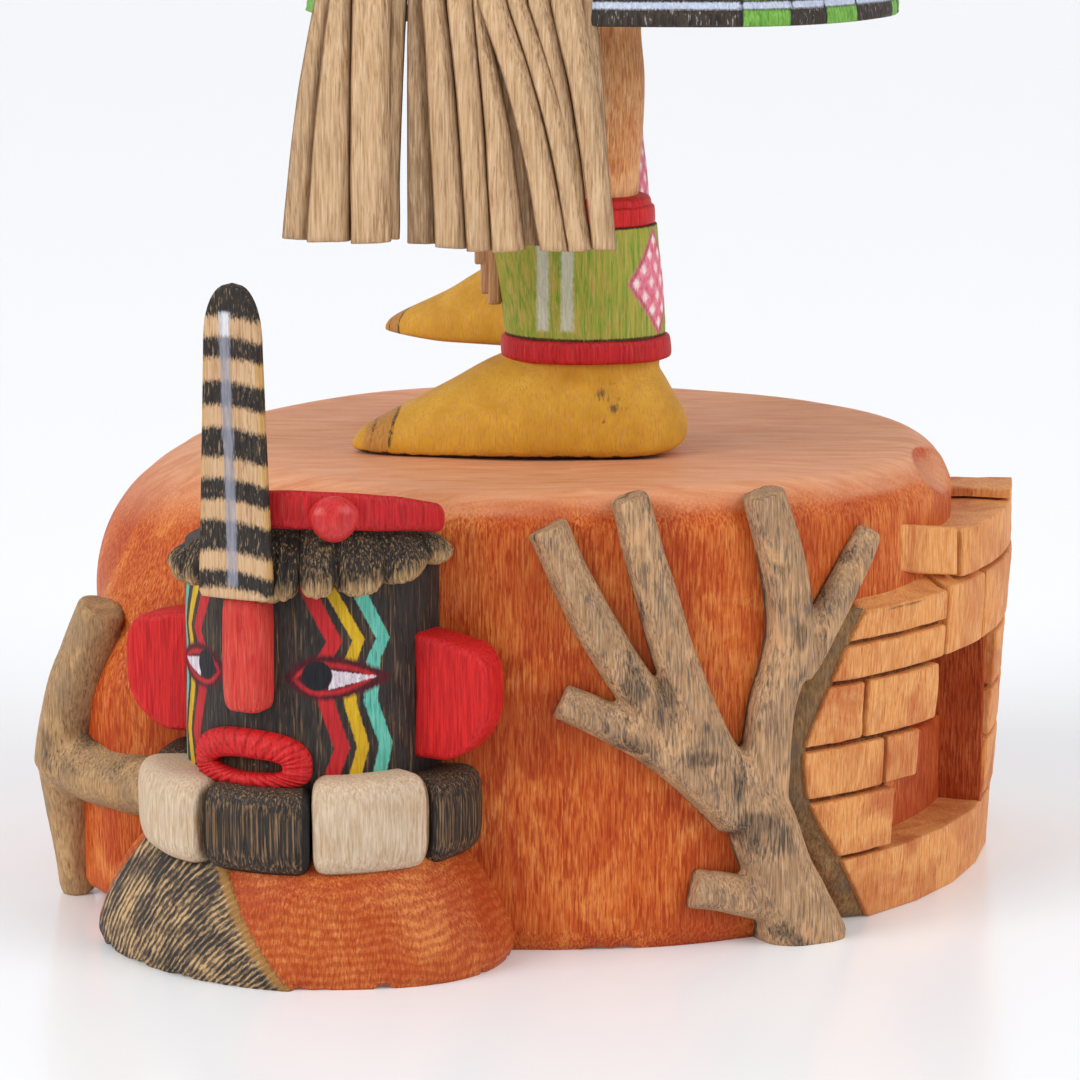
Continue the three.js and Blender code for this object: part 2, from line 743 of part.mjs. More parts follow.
const blockRoom = blockSolid(gap);
const kachina = new THREE.Group();
kachina.add(
  piece('base', base, 0xc8703a, 0.62),
  piece('bust_headband', bustHead.headband.subtract(blockRoom), 0xc4202c, 0.55),
  piece('bust_ear_left', bustHead.leftEar.subtract(blockRoom), 0xc4202c, 0.55),
  piece('bust_ear_right', bustHead.rightEar.subtract(blockRoom), 0xc4202c, 0.55),
  piece('bust_nose', bustHead.nose, 0xc4202c, 0.55),
  piece('bust_feather', bustHead.feather, 0xc9a877, 0.65),
  piece('figure', figure, 0xc9803f, 0.6),
  piece('sash', sashSolid().subtract(kiltSolid(gap)), 0xb08a62, 0.7),
  piece('figure_headband', figureHead.headband, 0xc4202c, 0.55),
  piece('figure_ear_left', figureHead.leftEar, 0xc4202c, 0.55),
  piece('figure_ear_right', figureHead.rightEar, 0xc4202c, 0.55),
  piece('figure_nose', figureHead.nose, 0xc4202c, 0.55),
  piece('figure_feather', figureHead.feather, 0xc9a877, 0.65),
);

export default kachina;
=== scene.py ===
# A kachina doll carved in cottonwood root, stained and painted, on its carved base.
import math

import bpy
import numpy as np
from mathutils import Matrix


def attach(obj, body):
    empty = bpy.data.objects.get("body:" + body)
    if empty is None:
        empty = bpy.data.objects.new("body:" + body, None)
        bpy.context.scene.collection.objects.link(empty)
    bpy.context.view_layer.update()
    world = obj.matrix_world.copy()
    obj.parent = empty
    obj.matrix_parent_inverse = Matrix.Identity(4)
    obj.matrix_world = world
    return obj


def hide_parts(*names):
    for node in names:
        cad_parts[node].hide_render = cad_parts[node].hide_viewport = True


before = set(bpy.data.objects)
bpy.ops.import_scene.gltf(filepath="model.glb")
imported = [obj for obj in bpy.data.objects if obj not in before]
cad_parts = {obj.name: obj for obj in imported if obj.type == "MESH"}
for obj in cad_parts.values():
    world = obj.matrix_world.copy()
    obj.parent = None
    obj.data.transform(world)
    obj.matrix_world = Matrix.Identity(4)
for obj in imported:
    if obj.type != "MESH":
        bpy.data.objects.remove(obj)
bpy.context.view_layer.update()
mm = 0.001  # every size below is in millimetres, the scene is in metres


# helpers for shapes
def smooth(value, low, high):  # 0 below low, 1 above high
    t = np.clip((np.asarray(value, float) - low) / (high - low), 0, 1)
    return t * t * (3 - 2 * t)


def lerp(a, b, t):
    return a + (b - a) * t


def lumps(points, size, seed):  # smooth noise from -1 to 1 with features of that size
    table = np.random.RandomState(seed).uniform(-1, 1, (32, 32, 32))
    scaled = np.asarray(points) / size
    cell = np.floor(scaled).astype(int)
    t = scaled - cell
    t = t * t * (3 - 2 * t)
    total = np.zeros(scaled.shape[:-1])
    for corner in np.ndindex(2, 2, 2):
        weight = np.prod(np.where(np.array(corner) == 1, t, 1 - t), axis=-1)
        i, j, k = [(cell[..., n] + corner[n]) % 32 for n in range(3)]
        total += weight * table[i, j, k]
    return total


def eased(stations, perSpan):  # smooth run of values through the given rows
    rows = np.array(stations, float)
    padded = np.vstack([2 * rows[0] - rows[1], rows, 2 * rows[-1] - rows[-2]])
    out = []
    for i in range(len(rows) - 1):
        a, b, c, d = padded[i:i + 4]
        for t in np.arange(perSpan) / perSpan:
            out.append(0.5 * (2 * b + (c - a) * t + (2 * a - 5 * b + 4 * c - d) * t ** 2
                              + (3 * b - a - 3 * c + d) * t ** 3))
    return np.array(out + [rows[-1]])


def squared(count, power):  # cosine and sine round one turn, pushed out towards a square
    turn = np.arange(count) * 2 * np.pi / count
    return [np.sign(v) * np.abs(v) ** power for v in (np.cos(turn), np.sin(turn))]


def turned(x, y, degrees):  # the same point after a turn about the origin
    c, s = math.cos(math.radians(degrees)), math.sin(math.radians(degrees))
    return x * c - y * s, x * s + y * c


def oval(x, y, z, half, curve, count):  # superellipse with its own reach on each side
    turn = np.arange(count) * 2 * np.pi / count
    c, s = np.cos(turn), np.sin(turn)
    power = 2 / np.where(c < 0, curve[0], curve[1])
    across = np.where(c < 0, half[0], half[1]) * np.sign(c) * np.abs(c) ** power
    along = np.where(s < 0, half[2], half[3]) * np.sign(s) * np.abs(s) ** power
    return np.stack([x + across, y + along, np.full(count, float(z))], axis=-1)


def awayFrom(points, x, y):  # level direction away from an upright line
    away = points - (x, y, 0)
    away[:, 2] = 0
    return away / np.maximum(np.linalg.norm(away, axis=1), 1)[:, None]


def places(obj):  # the vertices of a piece, in millimetres
    flat = np.empty(len(obj.data.vertices) * 3)
    obj.data.vertices.foreach_get("co", flat)
    return flat.reshape(-1, 3) / mm


def move(obj, points):
    obj.data.vertices.foreach_set("co", (np.asarray(points) * mm).ravel())
    obj.data.update()


def chosen(*objs):  # selects these alone, the first one active
    bpy.ops.object.select_all(action="DESELECT")
    for obj in objs:
        obj.select_set(True)
    bpy.context.view_layer.objects.active = objs[0]
    return objs[0]


def fresh(name):  # the primitive just added, under its name
    bpy.context.object.name = name
    return bpy.context.object


def tidy(obj, merge=0.002):  # doubles merged, faces turned outwards
    chosen(obj)
    bpy.ops.object.mode_set(mode="EDIT")
    bpy.ops.mesh.select_all(action="SELECT")
    bpy.ops.mesh.remove_doubles(threshold=merge * mm)
    bpy.ops.mesh.normals_make_consistent(inside=False)
    bpy.ops.object.mode_set(mode="OBJECT")
    bpy.ops.object.shade_smooth()
    return obj


def skinned(name, rings, looped=False):  # a grid wrapped over rings of points and closed
    rings = np.asarray(rings, float)
    if looped:
        rings = np.concatenate([rings, rings[:1]])
    else:
        ends = [np.broadcast_to(ring.mean(axis=0), ring.shape)[None] for ring in (rings[0], rings[-1])]
        rings = np.concatenate([ends[0], rings, ends[1]])
    rings = np.concatenate([rings, rings[:, :1]], axis=1)
    rows, columns = rings.shape[:2]
    bpy.ops.mesh.primitive_grid_add(x_subdivisions=columns - 1, y_subdivisions=rows - 1, size=1)
    obj = fresh(name)
    grid = places(obj) * mm
    column = np.rint((grid[:, 0] + 0.5) * (columns - 1)).astype(int)
    row = np.rint((grid[:, 1] + 0.5) * (rows - 1)).astype(int)
    move(obj, rings[row, column])
    return tidy(obj)


def joined(name, objs):
    chosen(*objs)
    bpy.ops.object.join()
    objs[0].name = name
    return objs[0]


def modified(obj, kind, **settings):
    chosen(obj)
    modifier = obj.modifiers.new(kind.title(), kind)
    for key, value in settings.items():
        setattr(modifier, key, value)
    bpy.ops.object.modifier_apply(modifier=modifier.name)
    return obj


def bevelled(obj, width):
    return modified(obj, "BEVEL", width=width * mm, segments=3, limit_method="ANGLE",
                    angle_limit=math.radians(40))


def fused(name, objs, voxel):  # carved in one: a single skin over all of them
    whole = modified(joined(name, objs), "REMESH", mode="VOXEL", voxel_size=voxel * mm)
    modified(whole, "SMOOTH", factor=0.6, iterations=3)
    bpy.ops.object.shade_smooth()
    return whole


def limb(name, stations, sides, flat=1.0, perSpan=6):  # tapered limb through x, y, z, radius
    run = eased(stations, perSpan)
    ahead = np.gradient(run[:, :3], axis=0)
    ahead /= np.linalg.norm(ahead, axis=1, keepdims=True)
    side = np.cross([0.31, -0.9, 0.3], ahead)
    side /= np.linalg.norm(side, axis=1, keepdims=True)
    out = np.cross(ahead, side)
    c, s = squared(sides, flat)
    rings = run[:, None, :3] + run[:, None, 3:] * (
        c[None, :, None] * side[:, None] + s[None, :, None] * out[:, None])
    return skinned(name, rings)


def knifeCut(obj, depth, seed):  # shallow facets and nicks
    p = places(obj)
    p += np.stack([lumps(p, (4, 4, 7), seed + k) for k in range(3)], axis=-1) * depth
    p[:, 2] = np.maximum(p[:, 2], 0)
    move(obj, p)
    return obj


def mark(obj, name, values):  # one number on each vertex, for the paint to follow
    attribute = obj.data.attributes.new(name, "FLOAT", "POINT")
    attribute.data.foreach_set("value", np.asarray(values, dtype=np.float32))


def done(obj, node, material):  # rides on the body and stands for its solid
    obj.data.materials.clear()
    obj.data.materials.append(material)
    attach(obj, "root")
    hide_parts(node)


# materials: woods and paints are dictionaries, and carvedWood lays one over the other
def tinted(wood, dark, middle, light, **more):  # the same wood in other tones
    return {**wood, "dark": dark, "middle": middle, "light": light, **more}


def coat(dark, light, **more):  # a paint
    return {"dark": dark, "light": light, **more}


def linear(hexColour):
    channels = [int(hexColour[i:i + 2], 16) / 255 for i in (1, 3, 5)]
    return [c / 12.92 if c <= 0.04045 else ((c + 0.055) / 1.055) ** 2.4 for c in channels] + [1.0]


def put(tree, kind, *values, out=0, tones=None, **settings):  # adds a node: sockets in order or by name
    node = tree.nodes.new("ShaderNode" + kind)
    for key, value in settings.items():
        setattr(node, key, value)
    named = [value for value in values if isinstance(value, dict)]
    for key, value in (named[0] if named else dict(enumerate(values))).items():
        if isinstance(value, bpy.types.NodeSocket):
            tree.links.new(value, node.inputs[key])
        else:
            node.inputs[key].default_value = value
    if tones:
        elements = node.color_ramp.elements
        elements[0].color, elements[1].color = linear(tones["dark"]), linear(tones["light"])
        if "middle" in tones:
            elements.new(0.45).color = linear(tones["middle"])
    return node.outputs[out] if node.outputs else node


def carvedWood(name, wood, paints=(), rough=0.6, relief=0.12, shine=0.22):
    # Cottonwood root, cut with a knife and sanded: fine upright fibres, a soft satin gloss.
    material = bpy.data.materials.new(name)
    material.use_nodes = True
    tree = material.node_tree
    tree.nodes.clear()
    coordinates = put(tree, "TexCoord", out="Object")
    product = {"operation": "MULTIPLY"}
    waveScale = 0.314  # gives a wave texture bands one unit apart

    def streaks(size, detail=4.0, warp=0.0, seed=0.0, source=None):  # noise stretched to a size in mm
        unit = mm if source is None else 1
        scaled = put(tree, "Mapping", {
            "Vector": source or coordinates, "Location": (seed, seed * 1.7, seed * 0.6),
            "Scale": tuple(1 / (s * unit) for s in size)})
        return put(tree, "TexNoise", {"Vector": scaled, "Scale": 1.0, "Detail": detail, "Roughness": 0.6,
                                      "Distortion": warp}, out="Fac")

    fibre = streaks(wood["fibre"], 5.0, wood.get("warp", 0.3))
    fleck = streaks(wood["fleck"], 2.0, 0.4, seed=3.1)
    cloud = streaks(wood["cloud"], 2.0, 0.6, seed=7.7)
    layers = []  # each a share and the colour that it lays over what is there
    if "patch" in wood:  # broad places where the stain took more deeply
        patch = wood["patch"]
        broad = streaks(patch["size"], 4.0, 0.8, seed=17.0)
        layers += [(put(tree, "MapRange", broad, low, high, 0.0, patch["amount"]), linear(patch[tone]))
                   for tone, low, high in (("colour", 0.42, 0.66), ("faded", 0.46, 0.3))]
    if "fleckColour" in wood:
        fleckIn = put(tree, "Math", fleck, put(tree, "MapRange", cloud, 0.3, 0.7, -0.09, 0.1))
        start = wood["fleckFrom"]
        layers.append((put(tree, "MapRange", fleckIn, start, start + 0.13, 0.0, wood["fleckAmount"]),
                       linear(wood["fleckColour"])))
    if "figure" in wood:  # growth rings cut aslant, as rows of short flecks
        figure = wood["figure"]
        inMillimetres = put(tree, "Mapping", {"Vector": coordinates, "Scale": (1 / mm, 1 / mm, 1 / mm)})
        row = put(tree, "TexWave", {
            "Vector": inMillimetres, "Scale": waveScale / figure["spacing"], "Distortion": 16.0,
            "Detail": 3.0, "Detail Scale": 0.35}, bands_direction="Z", out="Fac")
        speckle = put(tree, "Math", streaks((0.22, 0.22, 0.8), 1.0, 0.0, seed=9.0), 1.2, **product)
        shown = put(tree, "MapRange", put(tree, "Math", row, speckle), 0.95, 1.35, 0.0, figure["amount"])
        layers.append((shown, linear(figure["colour"])))
    if "top" in wood:  # upward-facing surfaces painted paler, a painted highlight from the light above, streaked along their length
        upright = put(tree, "SeparateXYZ", put(tree, "NewGeometry", out="Normal"), out=2)
        along = put(tree, "MapRange", streaks((14, 2.2, 3), 3.0, 0.8, seed=5.0), 0.3, 0.7)
        layers.append((put(tree, "MapRange", upright, 0.45, 0.92, 0.0, wood["top"]["amount"]),
                       put(tree, "ValToRGB", along, tones=wood["top"])))
    height = fibre
    roughness = put(tree, "MapRange", fibre, 0.3, 0.7, rough + 0.08, rough - 0.06)
    for n, paint in enumerate(paints):
        worn = streaks(paint.get("worn", (0.35, 0.35, 5.0)), 3.0, 0.3, seed=21.0 + n)
        bareness = paint.get("bare", 0.3)
        cover = put(tree, "MapRange", worn, bareness - 0.07, bareness + 0.07, paint.get("least", 0.25), 1.0)
        if "mark" in paint:  # the mark is the distance inside the paint's edge, in mm
            wander = streaks(paint.get("grain", (0.3, 0.3, 2.0)), 2.0, 0.2, seed=11.0 + n)
            edge, drift = paint.get("edge", 0.12), paint.get("drift", 0.3)
            inside = put(tree, "Math", put(tree, "Attribute", attribute_name=paint["mark"], out="Fac"),
                         put(tree, "MapRange", wander, 0.3, 0.7, -drift, drift))
            cover = put(tree, "Math", put(tree, "MapRange", inside, -edge, edge), cover, **product)
        tone = streaks(paint.get("tone", (0.4, 0.4, 4.0)), 3.0, 0.3, seed=31.0 + n)
        layers.append((put(tree, "Math", cover, paint.get("amount", 1.0), **product),
                       put(tree, "ValToRGB", put(tree, "MapRange", tone, 0.3, 0.7), tones=paint)))
    if "hatch" in wood:  # knife strokes that fan out from the cape's border
        across, along, inside = [put(tree, "Attribute", attribute_name=name, out="Fac")
                                 for name in ("hatchAcross", "hatchAlong", "cape")]
        paired = put(tree, "CombineXYZ", across, along, 0.0)
        rows = put(tree, "TexWave", {
            "Vector": paired, "Scale": waveScale / 0.83, "Distortion": 5.5, "Detail": 4.0,
            "Detail Scale": 0.8, "Detail Roughness": 0.75}, bands_direction="X", out="Fac")
        short = streaks((0.32, 2.0, 1), 4.0, 0.6, seed=2.0, source=paired)
        stroke = put(tree, "Math", put(tree, "Math", rows, 0.26, **product),
                     put(tree, "Math", short, 0.86, **product))
        blotch = put(tree, "MapRange", streaks((6, 6, 6), 3.0, 0.4, seed=13.0), 0.3, 0.7, -0.16, 0.16)
        hair = put(tree, "ValToRGB", put(tree, "MapRange", put(tree, "Math", stroke, blotch), 0.42, 0.78),
                   tones=wood["hatch"])
        ragged = put(tree, "MapRange", fleck, 0.3, 0.7, -0.3, 0.3)
        capeIn = put(tree, "MapRange", put(tree, "Math", inside, ragged), -0.15, 0.15)
        frayed = put(tree, "Math", inside, put(tree, "MapRange", short, 0.3, 0.7, -0.8, 0.8))
        ridge = put(tree, "Math", capeIn, put(tree, "MapRange", frayed, 1.7, 1.1), **product)
        layers += [(capeIn, hair), (put(tree, "Math", ridge, 0.8, **product), linear(wood["hatch"]["ridge"]))]
        cuts = put(tree, "Math", put(tree, "Math", stroke, capeIn, **product), 2.5, **product)
        height = put(tree, "Math", height, cuts)
    if "shade" in wood:  # painted shade where the 'deep' mark is high: hollows, creases and grooves; on the tree and branch the mark also holds the wood's own darker blotches
        deep = put(tree, "Attribute", attribute_name="deep", out="Fac")
        shadeAndStain = put(tree, "Math", deep, put(tree, "MapRange", fleck, 0.3, 0.7, -0.25, 0.25))
        layers.append((put(tree, "MapRange", shadeAndStain, 0.25, 0.85, 0.0, wood["shade"]["amount"]),
                       linear(wood["shade"]["colour"])))
    colour = put(tree, "ValToRGB", put(tree, "MapRange", fibre, 0.28, 0.72), tones=wood)
    for share, over in layers:
        colour = put(tree, "Mix", {0: share, 6: colour, 7: over}, data_type="RGBA", out=2)
    bump = put(tree, "Bump", {"Height": height, "Distance": relief * mm, "Strength": 0.9})
    surface = put(tree, "BsdfPrincipled", {"Base Color": colour, "Roughness": roughness, "Normal": bump,
                                           "IOR": 1.48, "Specular IOR Level": shine})
    put(tree, "OutputMaterial", surface)
    return material


stain = {  # orange stain on the block and the wall
    "dark": "#98340C", "middle": "#C85E20", "light": "#E4944C",
    "fibre": (0.3, 0.3, 4.0), "fleck": (0.34, 0.34, 3.2), "cloud": (13, 13, 20), "warp": 0.35,
    "fleckColour": "#9C2606", "fleckFrom": 0.52, "fleckAmount": 0.7,
    "patch": {"size": (11, 11, 16), "amount": 0.6, "colour": "#A83A10", "faded": "#E0904C"},
}
weathered = {  # grey-brown, flecked dark grey, darkened with painted shade in its hollows
    "dark": "#76604A", "middle": "#B09070", "light": "#D0B088",
    "fibre": (0.3, 0.3, 3.2), "fleck": (0.36, 0.36, 2.4), "cloud": (5, 5, 6), "warp": 0.3,
    "fleckColour": "#55504C", "fleckFrom": 0.54, "fleckAmount": 0.5,
    "patch": {"size": (5, 5, 7), "amount": 0.5, "colour": "#83715C", "faded": "#D8B280"},
    "shade": {"colour": "#35322F", "amount": 0.85},
}
bare = {  # unpainted wood
    "dark": "#93694A", "middle": "#C29C74", "light": "#DFC4A0",
    "fibre": (0.3, 0.3, 9.0), "fleck": (0.3, 0.3, 4.0), "cloud": (9, 9, 20), "warp": 0.3,
    "fleckColour": "#7C5638", "fleckFrom": 0.6, "fleckAmount": 0.5,
}
print("materials ready")


# the block: an upright oval of wood, its top corner rounded differently on each side
block = {
    "height": 72, "half": (72.8, 69, 57.5, 64), "curve": (2, 2.1),  # left, right, front, back
    "shoulder": (25, 8, 7, 10), "footInset": 1.4, "footHeight": 3, "columns": 380,
    "web": (-66, 13, 7.6),  # wood left behind the branch: azimuth, half width, how far it stands out
}
ruin = {
    "x": -1, "y": 19.6, "radius": 79.4, "flare": 0.038, "flareTop": 50, "uncut": 90.0,
    "arcEnd": 2, "backAngle": 50, "backRadius": 50, "behind": 70, "recess": 66.8, "mortar": 1.3,
    "leftEdge": [(0, -46.8), (5, -49.1), (11, -51.9), (16, -54.6), (21.4, -57.1), (25, -57.7),
                 (30, -58.1), (35, -56.5), (40, -54.8), (46.2, -52.5), (51.8, -49.9)],  # height, angle
}


def leftEdge(z):
    return np.interp(z, *zip(*ruin["leftEdge"]))


def blockHalf(z):
    foot = max(0, 1 - z / block["footHeight"]) * block["footInset"]
    above = [max(0, z - (block["height"] - r)) for r in block["shoulder"]]
    return [h - foot - (r - math.sqrt(max(0, r * r - a * a)))
            for h, r, a in zip(block["half"], block["shoulder"], above)]


def frontFace(x, z):
    half = blockHalf(z)
    reach, power = (half[0], block["curve"][0]) if x < 0 else (half[1], block["curve"][1])
    return -half[2] * (1 - min(1, abs(x) / reach) ** power) ** (1 / power)


def wallRadius(angle, z):
    radius = lerp(ruin["radius"], ruin["backRadius"], smooth(angle, ruin["arcEnd"], ruin["backAngle"]))
    return radius * (1 + ruin["flare"] * np.clip(np.asarray(z) / ruin["flareTop"], 0, 1))


def onWall(angle, radius, z):
    turn = np.radians(angle)
    return np.stack(np.broadcast_arrays(
        ruin["x"] + radius * np.cos(turn), ruin["y"] + radius * np.sin(turn), z), axis=-1).astype(float)


def aboutWall(points):  # distance and angle about the upright line that the wall bends round
    x, y = points[..., 0] - ruin["x"], points[..., 1] - ruin["y"]
    return np.hypot(x, y), np.degrees(np.arctan2(y, x))


def drawnIn(points, share):  # brought closer to that line
    moved = points.copy()
    moved[..., 0] = ruin["x"] + (points[..., 0] - ruin["x"]) * share
    moved[..., 1] = ruin["y"] + (points[..., 1] - ruin["y"]) * share
    return moved


def carvedBack(points):  # the block is cut back behind the wall, so that its courses stand free
    z, uncut, recess, behind = points[..., 2], ruin["uncut"], ruin["recess"], ruin["behind"]
    radius, angle = aboutWall(points)
    edge = leftEdge(z)
    low = lerp(uncut, 75.5, smooth(angle, edge - 5.5, edge - 3.2))
    low = lerp(low, recess, smooth(angle, edge, edge + 4))
    low = np.where(angle > 6, lerp(recess, uncut, smooth(angle, 6, 14)), low)
    high = lerp(uncut, behind, smooth(angle, -56, -24))
    high = np.where(angle > 2, lerp(behind, uncut, smooth(angle, 2, 12)), high)
    high = high + smooth(z, 72, 60) * 9 * smooth(angle, 0, -20)
    top = np.interp(angle, (-49, -30, -29, -4, -3, 14), (44, 44, 50, 50, 44, 36))
    limit = lerp(low, high, smooth(z, top, top + 3))
    cut = (radius > limit) & (angle > -66) & (angle < 16)
    return drawnIn(points, np.where(cut, limit / np.maximum(radius, 1e-6), 1.0))


def makeBlock():
    top, most = block["height"], max(block["shoulder"])
    heights = np.concatenate([np.linspace(0, top - most, 40, endpoint=False),
                              top - most * (1 - np.sin(np.linspace(0, np.pi / 2, 38)))])
    rings = [oval(0, 0, z, blockHalf(z), block["curve"], block["columns"]) for z in heights]
    crown = rings[-1]
    rings += [crown * (share, share, 1) for share in np.linspace(0.985, 0.02, 34)]
    obj = skinned("block", carvedBack(np.array(rings)))
    p = places(obj)
    out = awayFrom(p, 0, 0)
    side = smooth(p[:, 2], top + 0.5, top - 3)
    azimuth = np.degrees(np.arctan2(p[:, 0], -p[:, 1]))
    at, half, reach = block["web"]
    web = smooth(np.abs(azimuth - at), half, 3) * smooth(p[:, 2], 58, 34)
    p += out * (web * reach * smooth(p[:, 2], -4, 3))[:, None]
    tooled = lumps(p, (17, 17, 30), 1) * 0.45 + lumps(p, (3.5, 3.5, 14), 2) * 0.12
    p += out * tooled[:, None] * side[:, None]
    p[:, 2] += np.where(p[:, 2] > top - 3, lumps(p, (16, 16, 9), 3) * 0.3, 0)
    ragged = smooth(lumps(p, (7, 7, 50), 4) + 0.3 * lumps(p, (1.1, 1.1, 50), 5), 0.25, 1.2) * 0.8
    ragged *= side * (np.hypot(p[:, 0], p[:, 1]) > 40)  # along the sawn foot, but not under it
    p[:, 2] = np.where(p[:, 2] < 1.2, np.maximum(p[:, 2], 0) + ragged, p[:, 2])
    move(obj, p)
    return obj


# the block's 'top' coat paints its upward faces paler: a painted highlight
stainedWood = carvedWood("stainedWood", {**stain, "top": coat("#D68F62", "#EDB28A", amount=0.85)},
                         rough=0.5, relief=0.1)
done(makeBlock(), "base", stainedWood)
print("block done")


# the ruined wall: courses of stones, the cuts between them with painted shade at their floor, and the window
courses = [  # from, to, bottom, top; None starts at the wall's broken left edge
    (None, 47, 0, 11), (None, -43, 11, 21.4), (-17.5, 2, 11, 21.4), (2, 19, 11, 21.4),
    (19, 36, 11, 21.4), (36, 46.5, 11, 21.4), (None, -45.2, 21.4, 30), (-45.2, -38.8, 21.4, 30),
    (-17.5, 10, 21.4, 30), (10, 27, 21.4, 30), (27, 45.5, 21.4, 30), (None, -49, 30, 40),
    (-49, -35.6, 30, 40), (-17.5, 2, 30, 40), (2, 19, 30, 40), (19, 31, 30, 40), (None, -34.8, 40, 46.2),
    (None, -34.8, 46.2, 51.8), (-34.8, -24.3, 40, 52.2), (-24.3, -3, 40, 52.2), (-3, 14, 40, 52.2),
    (-48, -31.8, 52.2, 60.4), (-31.8, -3, 52.2, 60.4), (-12.3, -3.4, 60.4, 62.3),
]


def arcBlock(name, course, inset, inner, cuts, bevel=0):  # one stone, bent to the wall
    start, to, bottom, top = course
    bpy.ops.mesh.primitive_cube_add(size=1)
    obj = fresh(name)
    bpy.ops.object.mode_set(mode="EDIT")
    bpy.ops.mesh.subdivide(number_cuts=cuts)
    bpy.ops.object.mode_set(mode="OBJECT")
    p = places(obj) * mm + 0.5
    z = lerp(bottom + inset * (bottom > 0), top - inset * (top < 60), p[:, 2])
    first = leftEdge(z) if start is None else start
    degrees = math.degrees(inset / ruin["radius"])
    angle = lerp(first + degrees, to - degrees, p[:, 0])
    outer = wallRadius(angle, z)
    deep = np.minimum(inner, outer - 6)
    q = onWall(angle, lerp(deep, outer, p[:, 1]), z)
    q[:, :2] += ((lumps(q, 9, len(name) + int(bottom)) * 0.25)[:, None]
                 * (q[:, :2] - (ruin["x"], ruin["y"])) / 80 * p[:, 1:2])
    move(obj, q)
    tidy(obj)
    if bevel:
        p = places(bevelled(obj, bevel))
        move(obj, p + np.stack([lumps(p, 1.6, k) for k in (6, 7, 8)], axis=-1) * 0.09)
    return obj


def makeWall():
    stones = []
    for n, course in enumerate(courses):
        start, to, _, top = course
        stone = arcBlock("stone%d" % n, course, 0.42, 63.5, 9, 0.5)
        p = places(stone)
        radius, angle = aboutWall(p)
        if top in (51.8, 52.2) and to < -20:  # the ledge, worn down towards the front
            inward = wallRadius(angle, p[:, 2]) - radius
            p[:, 2] += 2.7 * smooth(inward, 0.6, 6.0) * smooth(p[:, 2], top - 3, top - 1)
            move(stone, p)
        if start == -48:  # the last stone at the top runs straight on into the block
            on = smooth(angle, -28, -48)
            move(stone, drawnIn(p, 1 - 4.6 * on / radius) + np.outer(3.6 * on, (0, 0, 1)))
        stones.append(stone)
    return joined("ruin_stones", stones)


def makeGrooveShade():  # the cuts between the stones show this dark backing: painted shade at the floor of the cuts
    backing = []
    for n, (start, to, bottom, top) in enumerate(courses):
        if top > 52.3:
            continue
        start = start + 1.2 if start == -17.5 else start  # set back from the window's two sides
        to = to - 1.2 if to in (-43, -38.8, -35.6) else to
        obj = arcBlock("backing%d" % n, (start, to, bottom, top), -0.02, 63, 5)
        p = places(obj)
        p = drawnIn(p, 1 - ruin["mortar"] / aboutWall(p)[0])
        p[:, 2] = np.minimum(p[:, 2], top - (0.9 if top > 51 else 0.6 if bottom == 0 else 0))
        move(obj, p)
        backing.append(obj)
    return joined("ruin_mortar", backing)


def makeWindow():  # seat across the window, the wood behind it and down its far side
    parts = []
    for course, inner, outer in (((-42, -15.5, 5, 25), 62, 72.5), ((-43, -15.5, 23, 41.5), 60, 67.8),
                                 ((-17.9, -16.7, 10, 41), 60, 79.7)):
        obj = arcBlock("window%d" % course[2], course, 0, inner, 9)
        p = places(obj)
        move(obj, drawnIn(p, np.minimum(1, outer / aboutWall(p)[0])))
        parts.append(bevelled(tidy(obj), 0.7))
    return joined("ruin_window", parts)


def makeWallEdge():  # bevelled cut where the wall ends beside the tree
    section = [(0.9, -0.9), (0.1, -1.0), (-1.5, -1.9), (-3.1, -3.4), (-3.6, -9), (0.9, -9)]  # angle, radius
    rings = []
    for z in np.linspace(0.2, 51.4, 60):
        angle, radius = leftEdge(z), wallRadius(-55, z)
        wander = float(lumps(np.array([0.0, 0.0, z]), 6, 9)) * 0.4
        rings.append([onWall(angle + a + wander * 0.4, radius + r, z) for a, r in section])
    return skinned("ruin_edge", rings)


stoneWood = carvedWood("stoneWood", tinted(stain, "#C46A30", "#E09A58", "#F2BC80", fleckColour="#BC5426",
                                           fleckFrom=0.6, fleckAmount=0.6), rough=0.55, relief=0.1)
# painted shade for the floors of the cuts between the stones
grooveShadeWood = carvedWood("grooveShadeWood", tinted(stain, "#4A3222", "#77502F", "#9A6E42", fibre=(0.6, 0.6, 0.6),
                                               fleckColour="#3A2A1E"), rough=0.75, relief=0.2)
windowWood = carvedWood("windowWood", tinted(stain, "#9C3812", "#BC5A2A", "#D67C48", fleckColour="#8A2A0C"),
                        rough=0.6, relief=0.14)
edgeWood = carvedWood("edgeWood", tinted(weathered, "#54381E", "#856038", "#A8824E",
                                         shade={"colour": "#2B2724", "amount": 0.0}), rough=0.65, relief=0.1)
done(makeWall(), "base", stoneWood)
done(makeGrooveShade(), "base", grooveShadeWood)
done(makeWindow(), "base", windowWood)
done(makeWallEdge(), "base", edgeWood)
print("wall done")


